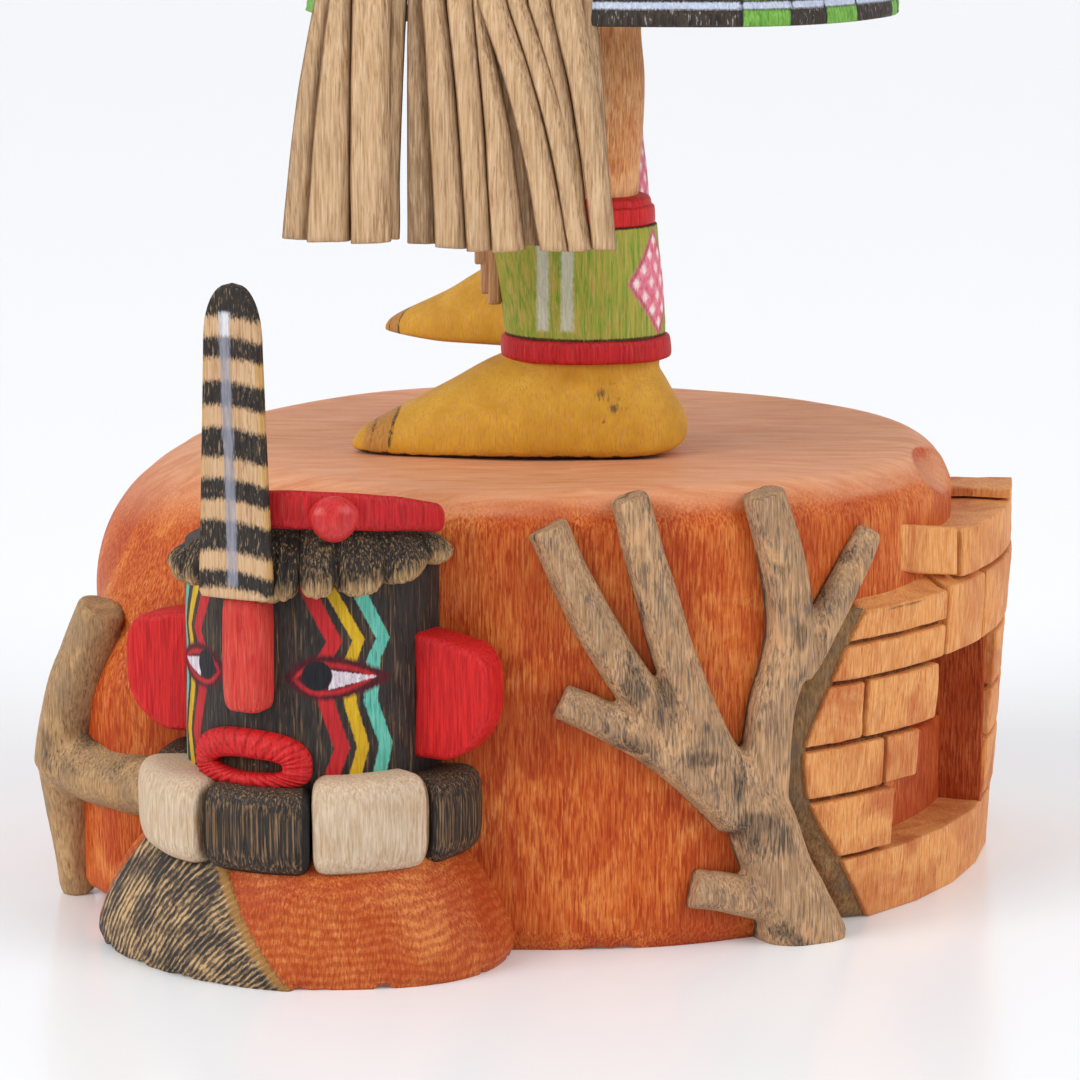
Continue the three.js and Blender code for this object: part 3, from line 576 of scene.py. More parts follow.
# the tree on the block's front and the dead branch at its left end
tree = {
    "lift": 1.0, "flat": 0.72, "voxel": 0.5,
    "limbs": [  # x, height, radius
        [(41.8, -1, 7.4), (39.9, 6, 6.0), (37.8, 11.5, 5.3), (35.4, 19, 5.3), (34.0, 24, 4.6)],
        [(34.0, 21.5, 4.6), (30.6, 27, 4.0), (27.8, 31, 3.6), (25.4, 36.4, 3.5), (21.6, 46.7, 3.3),
         (18.0, 59, 3.1), (14.4, 72.0, 2.8)],
        [(24.5, 31, 3.3), (16.2, 41.2, 3.1), (8.4, 54, 3.2), (2.0, 67.4, 3.0)],
        [(32, 21.5, 4.4), (27.6, 25.4, 3.8), (20.9, 31.2, 3.3), (12.7, 36.4, 3.0), (4.0, 40.4, 2.8)],
        [(35, 21.5, 4.3), (35.8, 30, 3.8), (36.8, 38, 3.7), (38.6, 44.4, 3.8), (39.5, 50.3, 3.8),
         (38.4, 59, 3.6), (35.2, 71.6, 3.1)],
        [(40.2, 43, 3.2), (42.8, 46.4, 3.0), (46.2, 52.2, 2.8), (49.8, 58.6, 2.7), (52.4, 63.4, 2.2)],
        [(38, 6.0, 3.5), (31.3, 8.2, 3.2), (24.6, 9.8, 3.0)],
    ],
    "forks": [  # painted shade in the forks: x, height, half width, half height
        (20.2, 40, 2.6, 6.5), (31.8, 27, 1.5, 4.5), (26, 31, 4.5, 1.8), (41.2, 49, 1.4, 3.4)],
}
branch = {
    "voxel": 0.7, "flat": 0.85,
    "limbs": [  # x, y, height, radius
        [(-74.6, -23, 0, 2.9), (-75.4, -24, 12, 3.5), (-76.2, -25.4, 24, 4.4)],
        [(-76.4, -25.4, 21.8, 4.7), (-74.4, -28, 33.6, 4.5), (-68.8, -31, 49.4, 4.0)],
        [(-76.4, -26, 23.6, 4.9), (-68, -32.5, 22.0, 5.1), (-56, -41, 21.4, 5)],
    ],
    "crook": ((-69.5, -29, 25.5), (5.5, 5.5, 4.5)),  # middle and reach of the painted shade in its crook
}


def makeTree():
    limbs = []
    for n, stations in enumerate(tree["limbs"]):
        run = [(x, frontFace(x, min(max(z, 0), 66)) - tree["lift"], z, r) for x, z, r in stations]
        limbs.append(limb("limb%d" % n, run, 24, tree["flat"]))
    obj = knifeCut(fused("tree", limbs, tree["voxel"]), 0.22, 40)
    p = places(obj)
    shell = np.array([frontFace(x, max(z, 0)) for x, z in p[:, [0, 2]]]) - p[:, 1]
    stained = smooth(lumps(p, (8, 8, 9), 12) + 0.6 * lumps(p, 3.0, 13), 0.1, 0.9) * 0.7
    forks = [smooth(np.hypot((p[:, 0] - x) / wide, (p[:, 2] - z) / tall), 1.2, 0.4) * 0.65
             for x, z, wide, tall in tree["forks"]]
    streaks = smooth(lumps(p, (1.1, 1.4, 6), 18), 0.2, 1.0) * smooth(p[:, 2], 20, 32) * 0.75
    # rims is painted shade along the limbs' edges where they meet the block, forks painted shade in the
    # crotches; stained and streaks are the wood's own darker blotches and streaks
    rims = smooth(shell, 1.6, 0.1) * smooth(p[:, 2], 64, 60)
    mark(obj, "deep", np.max([rims, stained, streaks, *forks], axis=0))
    return obj


def makeBranch():
    limbs = [limb("dead%d" % n, stations, 24, branch["flat"]) for n, stations in enumerate(branch["limbs"])]
    obj = knifeCut(fused("branch", limbs, branch["voxel"]), 0.3, 50)
    p = places(obj)
    at, size = branch["crook"]
    # painted shade in the crook; stained is the wood's own blotching
    crook = smooth(np.linalg.norm((p - at) / size, axis=1), 1.3, 0.5)
    stained = smooth(lumps(p, (8, 8, 9), 14) + 0.5 * lumps(p, 3, 15), 0.2, 1.1) * 0.6
    mark(obj, "deep", np.maximum(crook, stained))
    return obj


treeWood = carvedWood("treeWood", tinted(
    weathered, "#7C5E42", "#B48C66", "#D8B48C", fibre=(0.3, 0.3, 6.0), fleck=(0.3, 0.3, 4.5), fleckFrom=0.53,
    fleckColour="#4E4C4C", fleckAmount=0.6,
    patch={"size": (4, 4, 9), "amount": 0.5, "colour": "#8A6C52", "faded": "#DCA878"}),
    rough=0.62, relief=0.14)
branchWood = carvedWood("branchWood", tinted(weathered, "#7A5B3C", "#AE875C", "#C9A67A",
                                             fleckColour="#4A3C2E", fleckFrom=0.6), rough=0.6, relief=0.1)
done(makeTree(), "base", treeWood)
done(makeBranch(), "base", branchWood)
print("tree and branch done")


# the bust's shoulders, covered by a cape with a raised border
mound = {
    "x": -35.5, "y": -46, "half": (32.2, 32.5, 31, 16), "curve": (1.65, 3),
    "levels": [(0, 1, 1), (3, 1.02, 1.01), (9, 0.95, 0.98), (14, 0.85, 0.94), (18, 0.74, 0.84),
               (21, 0.6, 0.68), (22.5, 0.4, 0.45)],  # height, share of the width, share of the depth
    "border": {"low": (-36.2, 0), "high": (-49.4, 20), "step": 0.9},  # x and height of the cape's edge
}


def makeMound():
    left, right, front, back = mound["half"]
    rings = [oval(mound["x"], mound["y"], z, (left * wide, right * wide, front * deep, back),
                  mound["curve"], 300) for z, wide, deep in eased(mound["levels"], 9)]
    obj = skinned("bust_shoulders", rings)
    p = places(obj)
    low, high = mound["border"]["low"], mound["border"]["high"]
    span = np.array([high[0] - low[0], high[1] - low[1]], float)
    ahead = span / np.linalg.norm(span)
    fromLow = p[:, [0, 2]] - low
    along = fromLow @ ahead
    across = -(fromLow @ np.array([ahead[1], -ahead[0]])) + 0.012 * (along - 8) ** 2 - 0.8
    front = smooth(p[:, 1], mound["y"] - 1, mound["y"] - 6)
    across = np.where(p[:, 1] > mound["y"] - 4, -6, across)
    raised = smooth(across, -0.5, 0.5) * front * mound["border"]["step"] + smooth(across, 0.5, 2.4) * -0.3
    wave = lumps(p, (9, 9, 7), 16) * 0.5 * smooth(p[:, 2], 0.2, 2)
    p += awayFrom(p, mound["x"], mound["y"]) * (raised + wave)[:, None]
    ragged = smooth(lumps(p, (1.5, 1.5, 40), 17) + 0.5 * lumps(p, (0.7, 0.7, 40), 18), 0.0, 1.1) * 0.7
    p[:, 2] = np.maximum(p[:, 2], 0)
    rim = (np.hypot(p[:, 0] - mound["x"], p[:, 1] - mound["y"]) > 14) & (p[:, 2] < 0.8)
    p[:, 2] += np.where(rim, ragged * front, 0)
    move(obj, p)
    mark(obj, "cape", across)
    mark(obj, "hatchAcross", along + 0.02 * across * np.abs(across))
    mark(obj, "hatchAlong", across)
    return obj


moundWood = carvedWood("moundWood", tinted(
    stain, "#9E3E10", "#C2622A", "#DE9254", fleckAmount=0.6, fibre=(0.3, 0.3, 1.6), fleck=(0.35, 0.35, 1.6),
    figure={"spacing": 1.5, "colour": "#96300A", "amount": 0.4},
    hatch={"dark": "#34302E", "middle": "#6E5A46", "light": "#CBA878", "ridge": "#A9793C"}),
    rough=0.55, relief=0.12)
done(makeMound(), "base", moundWood)
print("shoulders done")


# the two masked heads, the bust's and the dancer's, from one set of pieces
bust = {
    "x": -33.5, "y": -49.5, "z": 16.5, "facing": -25, "scale": 1, "detail": 1, "band": (-20, 86),
    "tilt": (-2.8, 6.1),
    "rolls": [(-16, 24, 0), (24, 68, 1), (68, 106, 0), (106, 146, 1), (146, 186, 0), (186, 222, 1),
              (222, 256, 0), (256, 294, 0), (294, 344, 1)],  # from, to, 1 for white
    "swell": {8: (1.7, 0.02), 1: (0.2, 0.11), 0: (0.4, 0)},  # fuller rolls: outwards, taller by a share
}
dancer = {
    "x": 1.5, "y": 0, "z": 266, "facing": -90, "scale": 1.08, "detail": 0.62, "band": (-178.6, 178.6),
    "tilt": (0, 0), "rolls": [(-22.5 + 45 * n, 22.5 + 45 * n, n % 2) for n in range(8)],
}
mask = {
    "radius": 20.3, "bottom": 8,
    "hair": {
        "start": 21.6, "end": 41.4, "under": 51.2,
        "profile": [  # share of the way up, radius, relief
            (0.0, 20.0, 0.0), (0.02, 20.9, 0.0), (0.03, 22.9, 0.9), (0.07, 23.8, 1.0), (0.25, 24.1, 1.0),
            (0.5, 23.3, 1.0), (0.75, 21.9, 0.8), (0.9, 20.7, 0.5), (1.0, 19.4, 0.2)]},
    "collar": {"middle": 22.3, "depth": 9, "height": 13.5, "squash": 0.94, "square": 0.55},
    "mouth": {"middle": 16.6, "half": 10.1, "up": 5.1, "down": 3.9, "openHalf": 5.8, "openUp": 1.35,
              "openDown": 1.0, "ridges": 30, "aside": -1.0},
    "nose": {"half": 3.4, "bottom": 24.9, "top": 43.0},
    "ear": {"root": 19.3, "reach": 31.5, "bottom": 15.8, "top": 35.4, "thickness": 7, "forward": 2},
    "band": {"bottom": 50.6, "top": 55.9, "outer": 23.4, "inner": 20.9},
    "knob": {"azimuth": 34.8, "z": 52.0, "radius": 3.8},
    "feather": {"bottom": 43.6, "length": 46.3, "half": 6.05, "tipHalf": 4.1, "thickness": 2.4, "start": 23.9,
                "bars": [(-2, 4.9), (7.9, 11.0), (14.5, 18.1), (21.4, 25.9), (29.0, 32.2), (35.3, 39.9),
                         (42.8, 45.4)]},  # down from the tip
}


def around(azimuth, radius, z):  # azimuth from the middle of the face, towards the wearer's left
    turn = np.radians(azimuth)
    return np.stack(np.broadcast_arrays(
        radius * np.sin(turn), -radius * np.cos(turn), z), axis=-1).astype(float)


def leaning(points, who):  # the top of the head slopes down to the back
    low, more = who["tilt"]
    towards = turned(points[..., 0], points[..., 1], 72)[0] / 23.4
    leant = points.copy()
    leant[..., 2] += (low + more * towards) * smooth(points[..., 2], 43.5, 53)
    return leant


def seated(points, who):  # from the mask's own frame to the part's
    x, y, z = [points[..., n] * who["scale"] for n in range(3)]
    x, y = turned(x, y, who["facing"])
    return np.stack([who["x"] + x, who["y"] + y, who["z"] + z], axis=-1)


def unseated(obj, who):  # azimuths and places in the mask's own frame
    p = places(obj)
    x, y = turned(p[:, 0] - who["x"], p[:, 1] - who["y"], -who["facing"])
    local = np.stack([x, y, p[:, 2] - who["z"]], axis=-1) / who["scale"]
    return np.degrees(np.arctan2(local[:, 0], -local[:, 1])), local


def onHead(name, rings, who, looped=False):
    return skinned(name, seated(np.array(rings), who), looped)


stripes = {  # height and azimuth at the stripe's middle, one run above the eye and one below
    "red": [(10, 33), (14, 33), (19, 38.5), (26, 32), (29.4, 31), (32.5, 30.5), (35.5, 35.5), (41.5, 27),
            (44, 24)],
    "yellow": [(10, 43.5), (14, 43.5), (19, 47.8), (26, 42), (32.5, 42.5), (35.5, 46), (41.5, 36.8),
               (44, 33)],
    "turquoise": [(10, 55), (14, 55), (19, 58.5), (26, 51.5), (32.5, 53), (35.5, 57.5), (41.5, 48.3),
                  (44, 45)],
}
stripeHalf = {"red": 3.5, "yellow": 2.8, "turquoise": 3.3}  # degrees
eye = {"middle": 30.0, "inner": 14.0, "outer": 62.0, "half": 3.4, "pupil": (28, 30.3, 2.3),
       "white": (33, 55, 29.7, 1.5)}


def lens(u, v, inner, outer, middle, half, belly=0.33):  # teardrop lying on its side, blunt end inwards
    t = np.clip((u - inner) / (outer - inner), 0, 1)
    shape = np.where(t < belly, np.sin(np.minimum(t / belly, 1) * np.pi / 2) ** 0.7,
                     np.cos(np.clip((t - belly) / (1 - belly), 0, 1) * np.pi / 2) ** 0.85)
    beyond = np.maximum(inner - u, u - outer)
    return np.where(beyond > 0, -beyond * 0.35, shape * half - np.abs(v - middle))


def makeFace(name, who):
    heights = np.concatenate([np.linspace(mask["bottom"], 47, int(140 * who["detail"])), [47.5]])
    turn = np.linspace(-180, 180, int(380 * who["detail"]), endpoint=False)
    obj = onHead(name, [around(turn, mask["radius"], z) for z in heights], who)
    azimuth, local = unseated(obj, who)
    side, z = np.abs(azimuth), local[:, 2]
    perDegree = math.radians(mask["radius"])
    for colour, run in stripes.items():
        off = np.abs(side - np.interp(z, *zip(*run)))
        mark(obj, colour + "Stripe", (stripeHalf[colour] - off) * perDegree)
    sunk = eye["middle"] - 0.5 * smooth(side, 30, 62)
    mark(obj, "lid", lens(side, z, eye["inner"], eye["outer"], sunk, eye["half"]))
    rim = lens(side, z, eye["inner"] + 4, eye["outer"] - 8, eye["middle"] - 0.2, eye["half"] - 0.9)
    mark(obj, "lidLine", 0.36 - np.abs(rim - 0.3))
    start, end, middle, half = eye["white"]
    wedge = half * np.clip(1 - (side - start) / (end - start), -1, 1) - np.abs(z - middle)
    mark(obj, "eyeWhite", np.min([wedge, (side - start) * perDegree, (end - side) * perDegree], axis=0))
    u, v, radius = eye["pupil"]
    mark(obj, "pupil", radius - np.hypot((side - u) * perDegree, z - v))
    p = places(obj)
    tooled = lumps(p, (6, 6, 16), 19) * 0.16
    move(obj, p + (p - (who["x"], who["y"], 0)) * (1, 1, 0) / 20 * tooled[:, None])
    return obj


def lockEdges():  # the locks are cut unevenly; the last edge closes the round
    start = mask["hair"]["start"]
    edges = [start, 35.0, 54.6, 77.4]
    while edges[-1] < 360:
        edges.append(edges[-1] + 17.5 + 2.5 * math.sin(len(edges) * 2.3))
    return np.array([e for e in edges if e < start + 350] + [start + 360])


def lockAt(azimuth, edges):  # which lock, and how far across it
    index = np.clip(np.searchsorted(edges, azimuth, side="right") - 1, 0, len(edges) - 2)
    return index, (azimuth - edges[index]) / (edges[index + 1] - edges[index])


def makeHair(name, who):
    hair = mask["hair"]
    edges = lockEdges()
    azimuth = np.linspace(0, 360, int(540 * who["detail"]), endpoint=False) + hair["start"]
    index, share = lockAt(azimuth, edges)
    body = np.sin(np.pi * share) ** 0.45  # full in the middle of a lock, cut in at its edges
    slant = 0.35 + 0.65 * share  # each lock overlaps the one before it
    random = np.random.RandomState(8).uniform(-0.5, 0.5, len(edges) - 1)[index]
    strand = lumps(np.stack([azimuth * 0.4, azimuth * 0, azimuth * 0], axis=-1), 0.42, 20)
    behind = np.mod(azimuth, 360)
    lifted = 3.6 * smooth(behind, 42, 92) * smooth(behind, 300, 200)
    tucked = (1.6 * smooth(behind, 55, 85) * smooth(behind, 200, 150)
              + 2.6 * smooth(behind, 350, 310) * smooth(behind, 210, 260))
    fallen = 3.4 * smooth(behind, 345, 305) * smooth(behind, 200, 250)
    end = hair["end"] + 0.7 + 2.1 * (1 - body) + random * 1.1 + strand * 0.3 + lifted
    rings = []
    for up, radius, relief in eased(hair["profile"], 5):
        z = lerp(end, hair["under"], np.clip(up, 0, 1))
        depth = (body * 2.3 - 1.8 + slant - 0.6 + strand * 0.24) * relief
        rings.append(around(azimuth, radius + depth - tucked * (1 - up), z - fallen * up))
    for radius, z in ((18.6, 52.3), (17.4, 53.6), (15.4, 54.8), (12.5, 55.5), (7, 55.8), (1.0, 55.9)):
        rings.append(around(azimuth, radius + strand * 0.05, z - fallen * min(1, radius / 16)))
    obj = onHead(name, leaning(np.array(rings), who), who)
    where, local = unseated(obj, who)
    where = np.mod(where - hair["start"], 360) + hair["start"]
    index, share = lockAt(where, edges)
    fall = np.interp(np.mod(where, 360), [0, 42, 92, 200, 300, 360], [0, 0, 3.6, 3.6, 0, 0])
    root = smooth(local[:, 2], 42.6 + fall, 47.2 + fall) * 1.8
    parting = smooth(np.abs(share - 0.5), 0.3, 0.48)
    uneven = np.random.RandomState(9).uniform(-0.3, 0.3, len(edges) - 1)[index]
    mark(obj, "root", root + parting - 0.75 + uneven)
    return obj


def makeRolls(name, who, white):
    collar = mask["collar"]
    c, s = squared(int(40 * who["detail"]), collar["square"])
    shares = np.concatenate([np.linspace(0.01, 0.16, 16), np.linspace(0.18, 0.82, 24),
                             np.linspace(0.84, 0.99, 16)])
    rolls = []
    for n, (first, last, colour) in enumerate(who["rolls"]):
        if colour != white:
            continue
        rings = []
        fuller, taller = who.get("swell", {}).get(n, (0, 0))
        for share in shares:
            end = min(share - 0.01, 0.99 - share) / 0.14
            size = 0.72 + 0.28 * math.sqrt(max(0.0, 1 - (1 - min(end, 1)) ** 2.2))
            reach = collar["middle"] + (collar["depth"] + fuller) / 2 * c * size + fuller / 2
            points = around(lerp(first, last, share), reach,
                            collar["height"] / 2 * (1 - s * size) * (1 + taller))
            points[:, 1] *= collar["squash"]
            rings.append(points)
        rolls.append(knifeCut(onHead(name + str(n), rings, who), 0.16, 60 + n))
    obj = joined(name, rolls)
    azimuth, local = unseated(obj, who)
    nearest = np.min([np.abs(np.mod(azimuth - roll[0] + 180, 360) - 180) for roll in who["rolls"]], axis=0)
    # painted shade between the rolls and along their underside
    mark(obj, "deep", np.maximum(smooth(nearest, 3.2, 0.5), smooth(local[:, 2], 1.2, 0.2)) * 2 - 1)
    return obj


def makeMouth(name, who):
    mouth, radius = mask["mouth"], mask["radius"]
    rings = []
    for t in np.linspace(0, 2 * np.pi, 240, endpoint=False):
        c, s = math.cos(t), math.sin(t)
        ridge = 0.34 * abs(math.sin(t * mouth["ridges"] / 2 + 0.4 * math.sin(3 * t))) ** 0.8 - 0.1
        signX, signZ = np.sign(c), np.sign(s)
        outer = (mouth["half"] * signX * abs(c) ** (0.8 if s > 0 else 0.6) + mouth["aside"],
                 (mouth["up"] if s > 0 else mouth["down"]) * signZ * abs(s) ** (0.85 if s > 0 else 0.5))
        square = 0.55 if c > 0 else 1.5  # cut square at one corner, drawn to a point at the other
        inner = (mouth["openHalf"] * signX * abs(c) ** 0.9 + mouth["aside"],
                 (mouth["openUp"] if s > 0 else mouth["openDown"]) * signZ * abs(s) ** square - 0.5)
        section = [(0.0, -1.0), (0.0, 1.3), (0.06, 1.75), (0.22, 2.15 + ridge), (0.45, 2.25 + ridge),
                   (0.7, 2.0 + ridge), (0.9, 1.5 + ridge), (0.985, 0.9), (1.0, 0.3), (1.0, -1.0)]
        ring = []
        for share, out in section:
            across, up = lerp(inner[0], outer[0], share), lerp(inner[1], outer[1], share)
            ring.append(around(math.degrees(across / radius), radius + out, mouth["middle"] + up))
        rings.append(ring)
    obj = onHead(name, rings, who, looped=True)
    azimuth, local = unseated(obj, who)
    across = np.radians(azimuth) * radius - mouth["aside"]
    turn = np.arctan2((local[:, 2] - mouth["middle"]) / 4.5, across / 10)
    groove = 1 - np.abs(np.sin(turn * mouth["ridges"] / 2 + 0.4 * np.sin(3 * turn))) ** 0.8
    # painted shade in the grooves between the lip's ridges
    mark(obj, "groove", groove * 1.2 - 0.75)
    return obj


def makeThroat(name, who):  # a dark sheet in the lips' opening: painted shade standing for the hollow behind them
    mouth, radius = mask["mouth"], mask["radius"]
    c, s = squared(40, 1)
    return onHead(name, [around(np.degrees(mouth["openHalf"] * size * c / radius), radius + out,
                                mouth["middle"] - 0.4 + 1.9 * size * s)
                         for size, out in ((0.2, 0.12), (0.7, 0.15), (1.12, 0.2), (1.12, -0.4))], who)


def makeNose(name, who):
    nose = mask["nose"]
    middle, reach = (nose["bottom"] + nose["top"]) / 2, (nose["top"] - nose["bottom"]) / 2
    across, up = nose["half"] * squared(96, 0.35)[0], reach * squared(96, 0.3)[1]
    rings = []
    for out, size in ((-1.5, 1.0), (0.3, 1.0), (2.4, 1.0), (3.4, 0.97), (4.0, 0.9), (4.3, 0.78), (4.42, 0.5),
                      (4.45, 0.15)):
        inset = (1 - size) * nose["half"] * 1.15
        ring = around(0, mask["radius"] + out, middle + np.sign(up) * np.maximum(np.abs(up) - inset, 0))
        ring[:, 0] = np.sign(across) * np.maximum(np.abs(across) - inset, 0)
        rings.append(ring)
    return knifeCut(onHead(name, rings, who), 0.1, 70)


def makeEar(name, who, side):
    ear = mask["ear"]
    root, reach, low, high = ear["root"], ear["reach"], ear["bottom"], ear["top"]
    s, c = np.sin(np.linspace(0, np.pi / 2, 9)), np.cos(np.linspace(0, np.pi / 2, 9))
    outline = np.concatenate([  # cut corner below, round one above
        [(root, low)], np.stack([reach - 7.5 + 7.5 * s ** 1.15, low + 8.5 * (1 - c) ** 0.9], axis=-1),
        np.stack([reach - 4.5 * (1 - c), high - 1.3 - 5.0 * (1 - s)], axis=-1),
        [(reach - 8, high - 0.5), (root, high)]])
    dense = []
    for a, b in zip(outline, np.roll(outline, -1, axis=0)):
        steps = max(1, int(np.linalg.norm(b - a) / 0.5))
        dense += [a + (b - a) * k / steps for k in range(steps)]
    centre = np.array([(root + reach) / 2 - 1, (low + high) / 2])
    spread = np.array(dense) - centre
    half = ear["thickness"] / 2
    rings = []
    for depth, inset in ((-half, 1.3), (-half + 0.15, 0.6), (-half + 0.5, 0.2), (-half + 1.1, 0),
                         (half - 1.1, 0), (half - 0.5, 0.2), (half - 0.15, 0.6), (half, 1.3)):
        face = centre + spread * (1 - inset / np.maximum(np.linalg.norm(spread, axis=1), 1)[:, None])
        level = np.full(len(face), -ear["forward"] + depth)
        rings.append(np.stack([side * face[:, 0], level, face[:, 1]], axis=-1))
    return knifeCut(onHead(name, rings, who), 0.12, 72)


def makeBand(name, who):
    band = mask["band"]
    start, end = who["band"]
    c, s = squared(28, 0.6)
    rings = []
    steps = int((end - start) / 1.2 * who["detail"])
    for k in range(steps + 1):
        azimuth = lerp(start, end, k / steps)
        size = 1 - 0.35 * max(0, 1 - min(k, steps - k) / 4) ** 2
        rise = (band["top"] - band["bottom"]) / 2 * size * (1 - 0.16 * smooth(azimuth, 40, 90))
        depth = (band["outer"] - band["inner"]) / 2 * size
        rings.append(around(azimuth, (band["outer"] + band["inner"]) / 2 - c * depth,
                            lerp(band["bottom"], band["top"], 0.5) + s * rise))
    return knifeCut(onHead(name, leaning(np.array(rings), who), who), 0.14, 74)


def makeKnob(name, who):
    knob = mask["knob"]
    bpy.ops.mesh.primitive_uv_sphere_add(segments=48, ring_count=32, radius=knob["radius"] * mm)
    obj = fresh(name)
    p = places(obj)
    up = p[:, 2] / knob["radius"]
    x, y = turned(p[:, 0] * (1.0 - 0.1 * smooth(-up, -0.4, 1)), p[:, 1] * 0.7, knob["azimuth"])
    p = np.stack([x, y, p[:, 2] * np.where(up > 0, 0.86, 0.98)], axis=-1)
    place = around(knob["azimuth"], mask["band"]["outer"] + 0.3, knob["z"])
    move(obj, seated(p + leaning(place, who), who))
    return knifeCut(tidy(obj), 0.08, 76)


def makeFeather(name, who):
    feather = mask["feather"]
    bottom, length, wide, narrow = [feather[key] for key in ("bottom", "length", "half", "tipHalf")]
    t, u = feather["thickness"] / 2, np.linspace(-1, 1, 33)
    front = t * (1 - 0.35 * np.abs(u) ** 3)
    rings = []
    for up in np.linspace(0, 1, int(120 * who["detail"])):
        tip = max(0.0, (up - 0.8) / 0.2)
        half = lerp(wide, narrow + 0.5, min(up / 0.8, 1) ** 0.9) * (1 - max(0, 1 - up / 0.03) ** 2 * 0.1)
        half = max(half * math.sqrt(max(0.0, 1 - tip ** 2.3)), 0.05)
        thin = min(1, half / 2)
        across = half * np.concatenate([u, u[::-1]])
        out = np.concatenate([-front * thin, front[::-1] * 0.9 * thin]) - (feather["start"] + t)
        rings.append(np.stack([across, out, np.full(66, bottom - 0.8 + (length + 0.8) * up)], axis=-1))
    obj = onHead(name, rings, who)
    _, local = unseated(obj, who)
    top = bottom + length
    fromTop, across = top - local[:, 2], local[:, 0]
    droop = 0.9 * (across / wide) ** 2 + 0.35 * across / wide
    down = fromTop - droop
    mark(obj, "bar", np.max([np.minimum(down - a, b - down) for a, b in feather["bars"]], axis=0))
    middle = np.abs(across + 0.75 * smooth(fromTop, 44, 4))
    mark(obj, "shaft", np.min([0.85 - middle, fromTop - 4.2, 45.2 - fromTop], axis=0))
    mark(obj, "quill", np.min([0.8 - middle, fromTop - 4.4, 7.6 - fromTop], axis=0))
    limit = np.interp(local[:, 2], [bottom, top - 12, top], [wide, narrow + 0.4, 3])
    mark(obj, "rim", np.where(fromTop > 9, np.abs(across) - limit + 0.3, -1))
    return obj


blackPaint = coat("#1F1C1B", "#3D3733", bare=0.34, least=0.35, worn=(0.32, 0.32, 6.0))
redPaint = coat("#A81016", "#E42C2A", bare=0.3, least=0.65, tone=(0.34, 0.34, 6.0))
greenPaint = coat("#4E8E2A", "#8CBE5A")
headWood = {"dark": "#4E3724", "middle": "#8B6845", "light": "#B08C63", "fibre": (0.34, 0.34, 8.0),
            "fleck": (0.5, 0.5, 5.0), "cloud": (9, 9, 14)}
reddened = tinted(headWood, "#8A2A20", "#B23A2C", "#C9604A")
brushed = {"drift": 0.12, "grain": (0.3, 0.3, 0.8)}
faceWood = carvedWood("faceWood", headWood, [
    {**blackPaint, "bare": 0.37, "worn": (0.4, 0.4, 7.0)},
    {**redPaint, **coat("#9C1A20", "#CA2E30", mark="redStripe", **brushed)},
    coat("#B88E14", "#DCB428", mark="yellowStripe", bare=0.25, least=0.5, **brushed),
    coat("#48A492", "#74C8B4", mark="turquoiseStripe", bare=0.38, least=0.35, **brushed),
    coat("#3A0F18", "#581C26", mark="lid", bare=0.1, edge=0.35, drift=0.2),
    coat("#A01C24", "#C42E34", mark="lidLine", bare=0.25, least=0.2, edge=0.3, drift=0.15),
    coat("#B4A4B0", "#E8E0E6", mark="eyeWhite", bare=0.35, least=0.3, drift=0.15, worn=(0.25, 0.25, 0.4)),
    coat("#15161A", "#26272C", mark="pupil", bare=0.1, drift=0.06)], rough=0.5, relief=0.14)
hairWood = carvedWood("hairWood", tinted(headWood, "#6B4E33", "#A78358", "#CBAE84",
                                         fibre=(0.34, 0.34, 3.0)), [
    coat("#1E1B1A", "#3A342F", mark="root", edge=0.7, drift=0.8, grain=(0.4, 0.4, 6.0), bare=0.4, least=0.22,
         worn=(0.28, 0.28, 4.0))], rough=0.6, relief=0.22)
redWood = carvedWood("redWood", reddened, [redPaint], rough=0.45, relief=0.22)
bandWood = carvedWood("bandWood", tinted(headWood, "#6A2018", "#94402C", "#B8684A"), [
    {**redPaint, **coat("#980E16", "#D62C30", bare=0.36, least=0.5)}], rough=0.45, relief=0.2)
noseWood = carvedWood("noseWood", tinted(headWood, "#A8402C", "#C86850", "#DC8A70"), [
    {**redPaint, **coat("#B0201C", "#DA4A40", bare=0.42, least=0.5)}], rough=0.45, relief=0.16)
knobWood = carvedWood("knobWood", headWood, [{**redPaint, **coat("#AE181C", "#D43A38", bare=0.2)}],
                      rough=0.32, relief=0.05, shine=0.4)
lipWood = carvedWood("lipWood", reddened, [
    {**redPaint, **coat("#B0161A", "#DE2C2C")},
    # painted shade in the grooves between the ridges
    coat("#6E0C10", "#8E1418", mark="groove", edge=0.3, amount=0.8)], rough=0.45, relief=0.1)
# both roll woods darken the 'deep' mark: painted shade between the rolls and under them
blackRoll = carvedWood("blackRoll", {**headWood, "fibre": (0.42, 0.42, 9.0)}, [
    {**blackPaint, "bare": 0.44, "least": 0.2, "worn": (0.3, 0.3, 12.0)},
    coat("#1A1817", "#2A2624", mark="deep", edge=0.4, bare=0.2)], rough=0.6, relief=0.16)
whiteRoll = carvedWood("whiteRoll", tinted(headWood, "#9B7A58", "#C0A07C", "#D9C0A0"), [
    coat("#B49878", "#DCC8B0", bare=0.42, least=0.2, worn=(0.5, 0.5, 5.0), tone=(0.35, 0.35, 4)),
    coat("#6E5238", "#8E6F4C", mark="deep", edge=0.5, bare=0.35, least=0.2)], rough=0.65, relief=0.12)
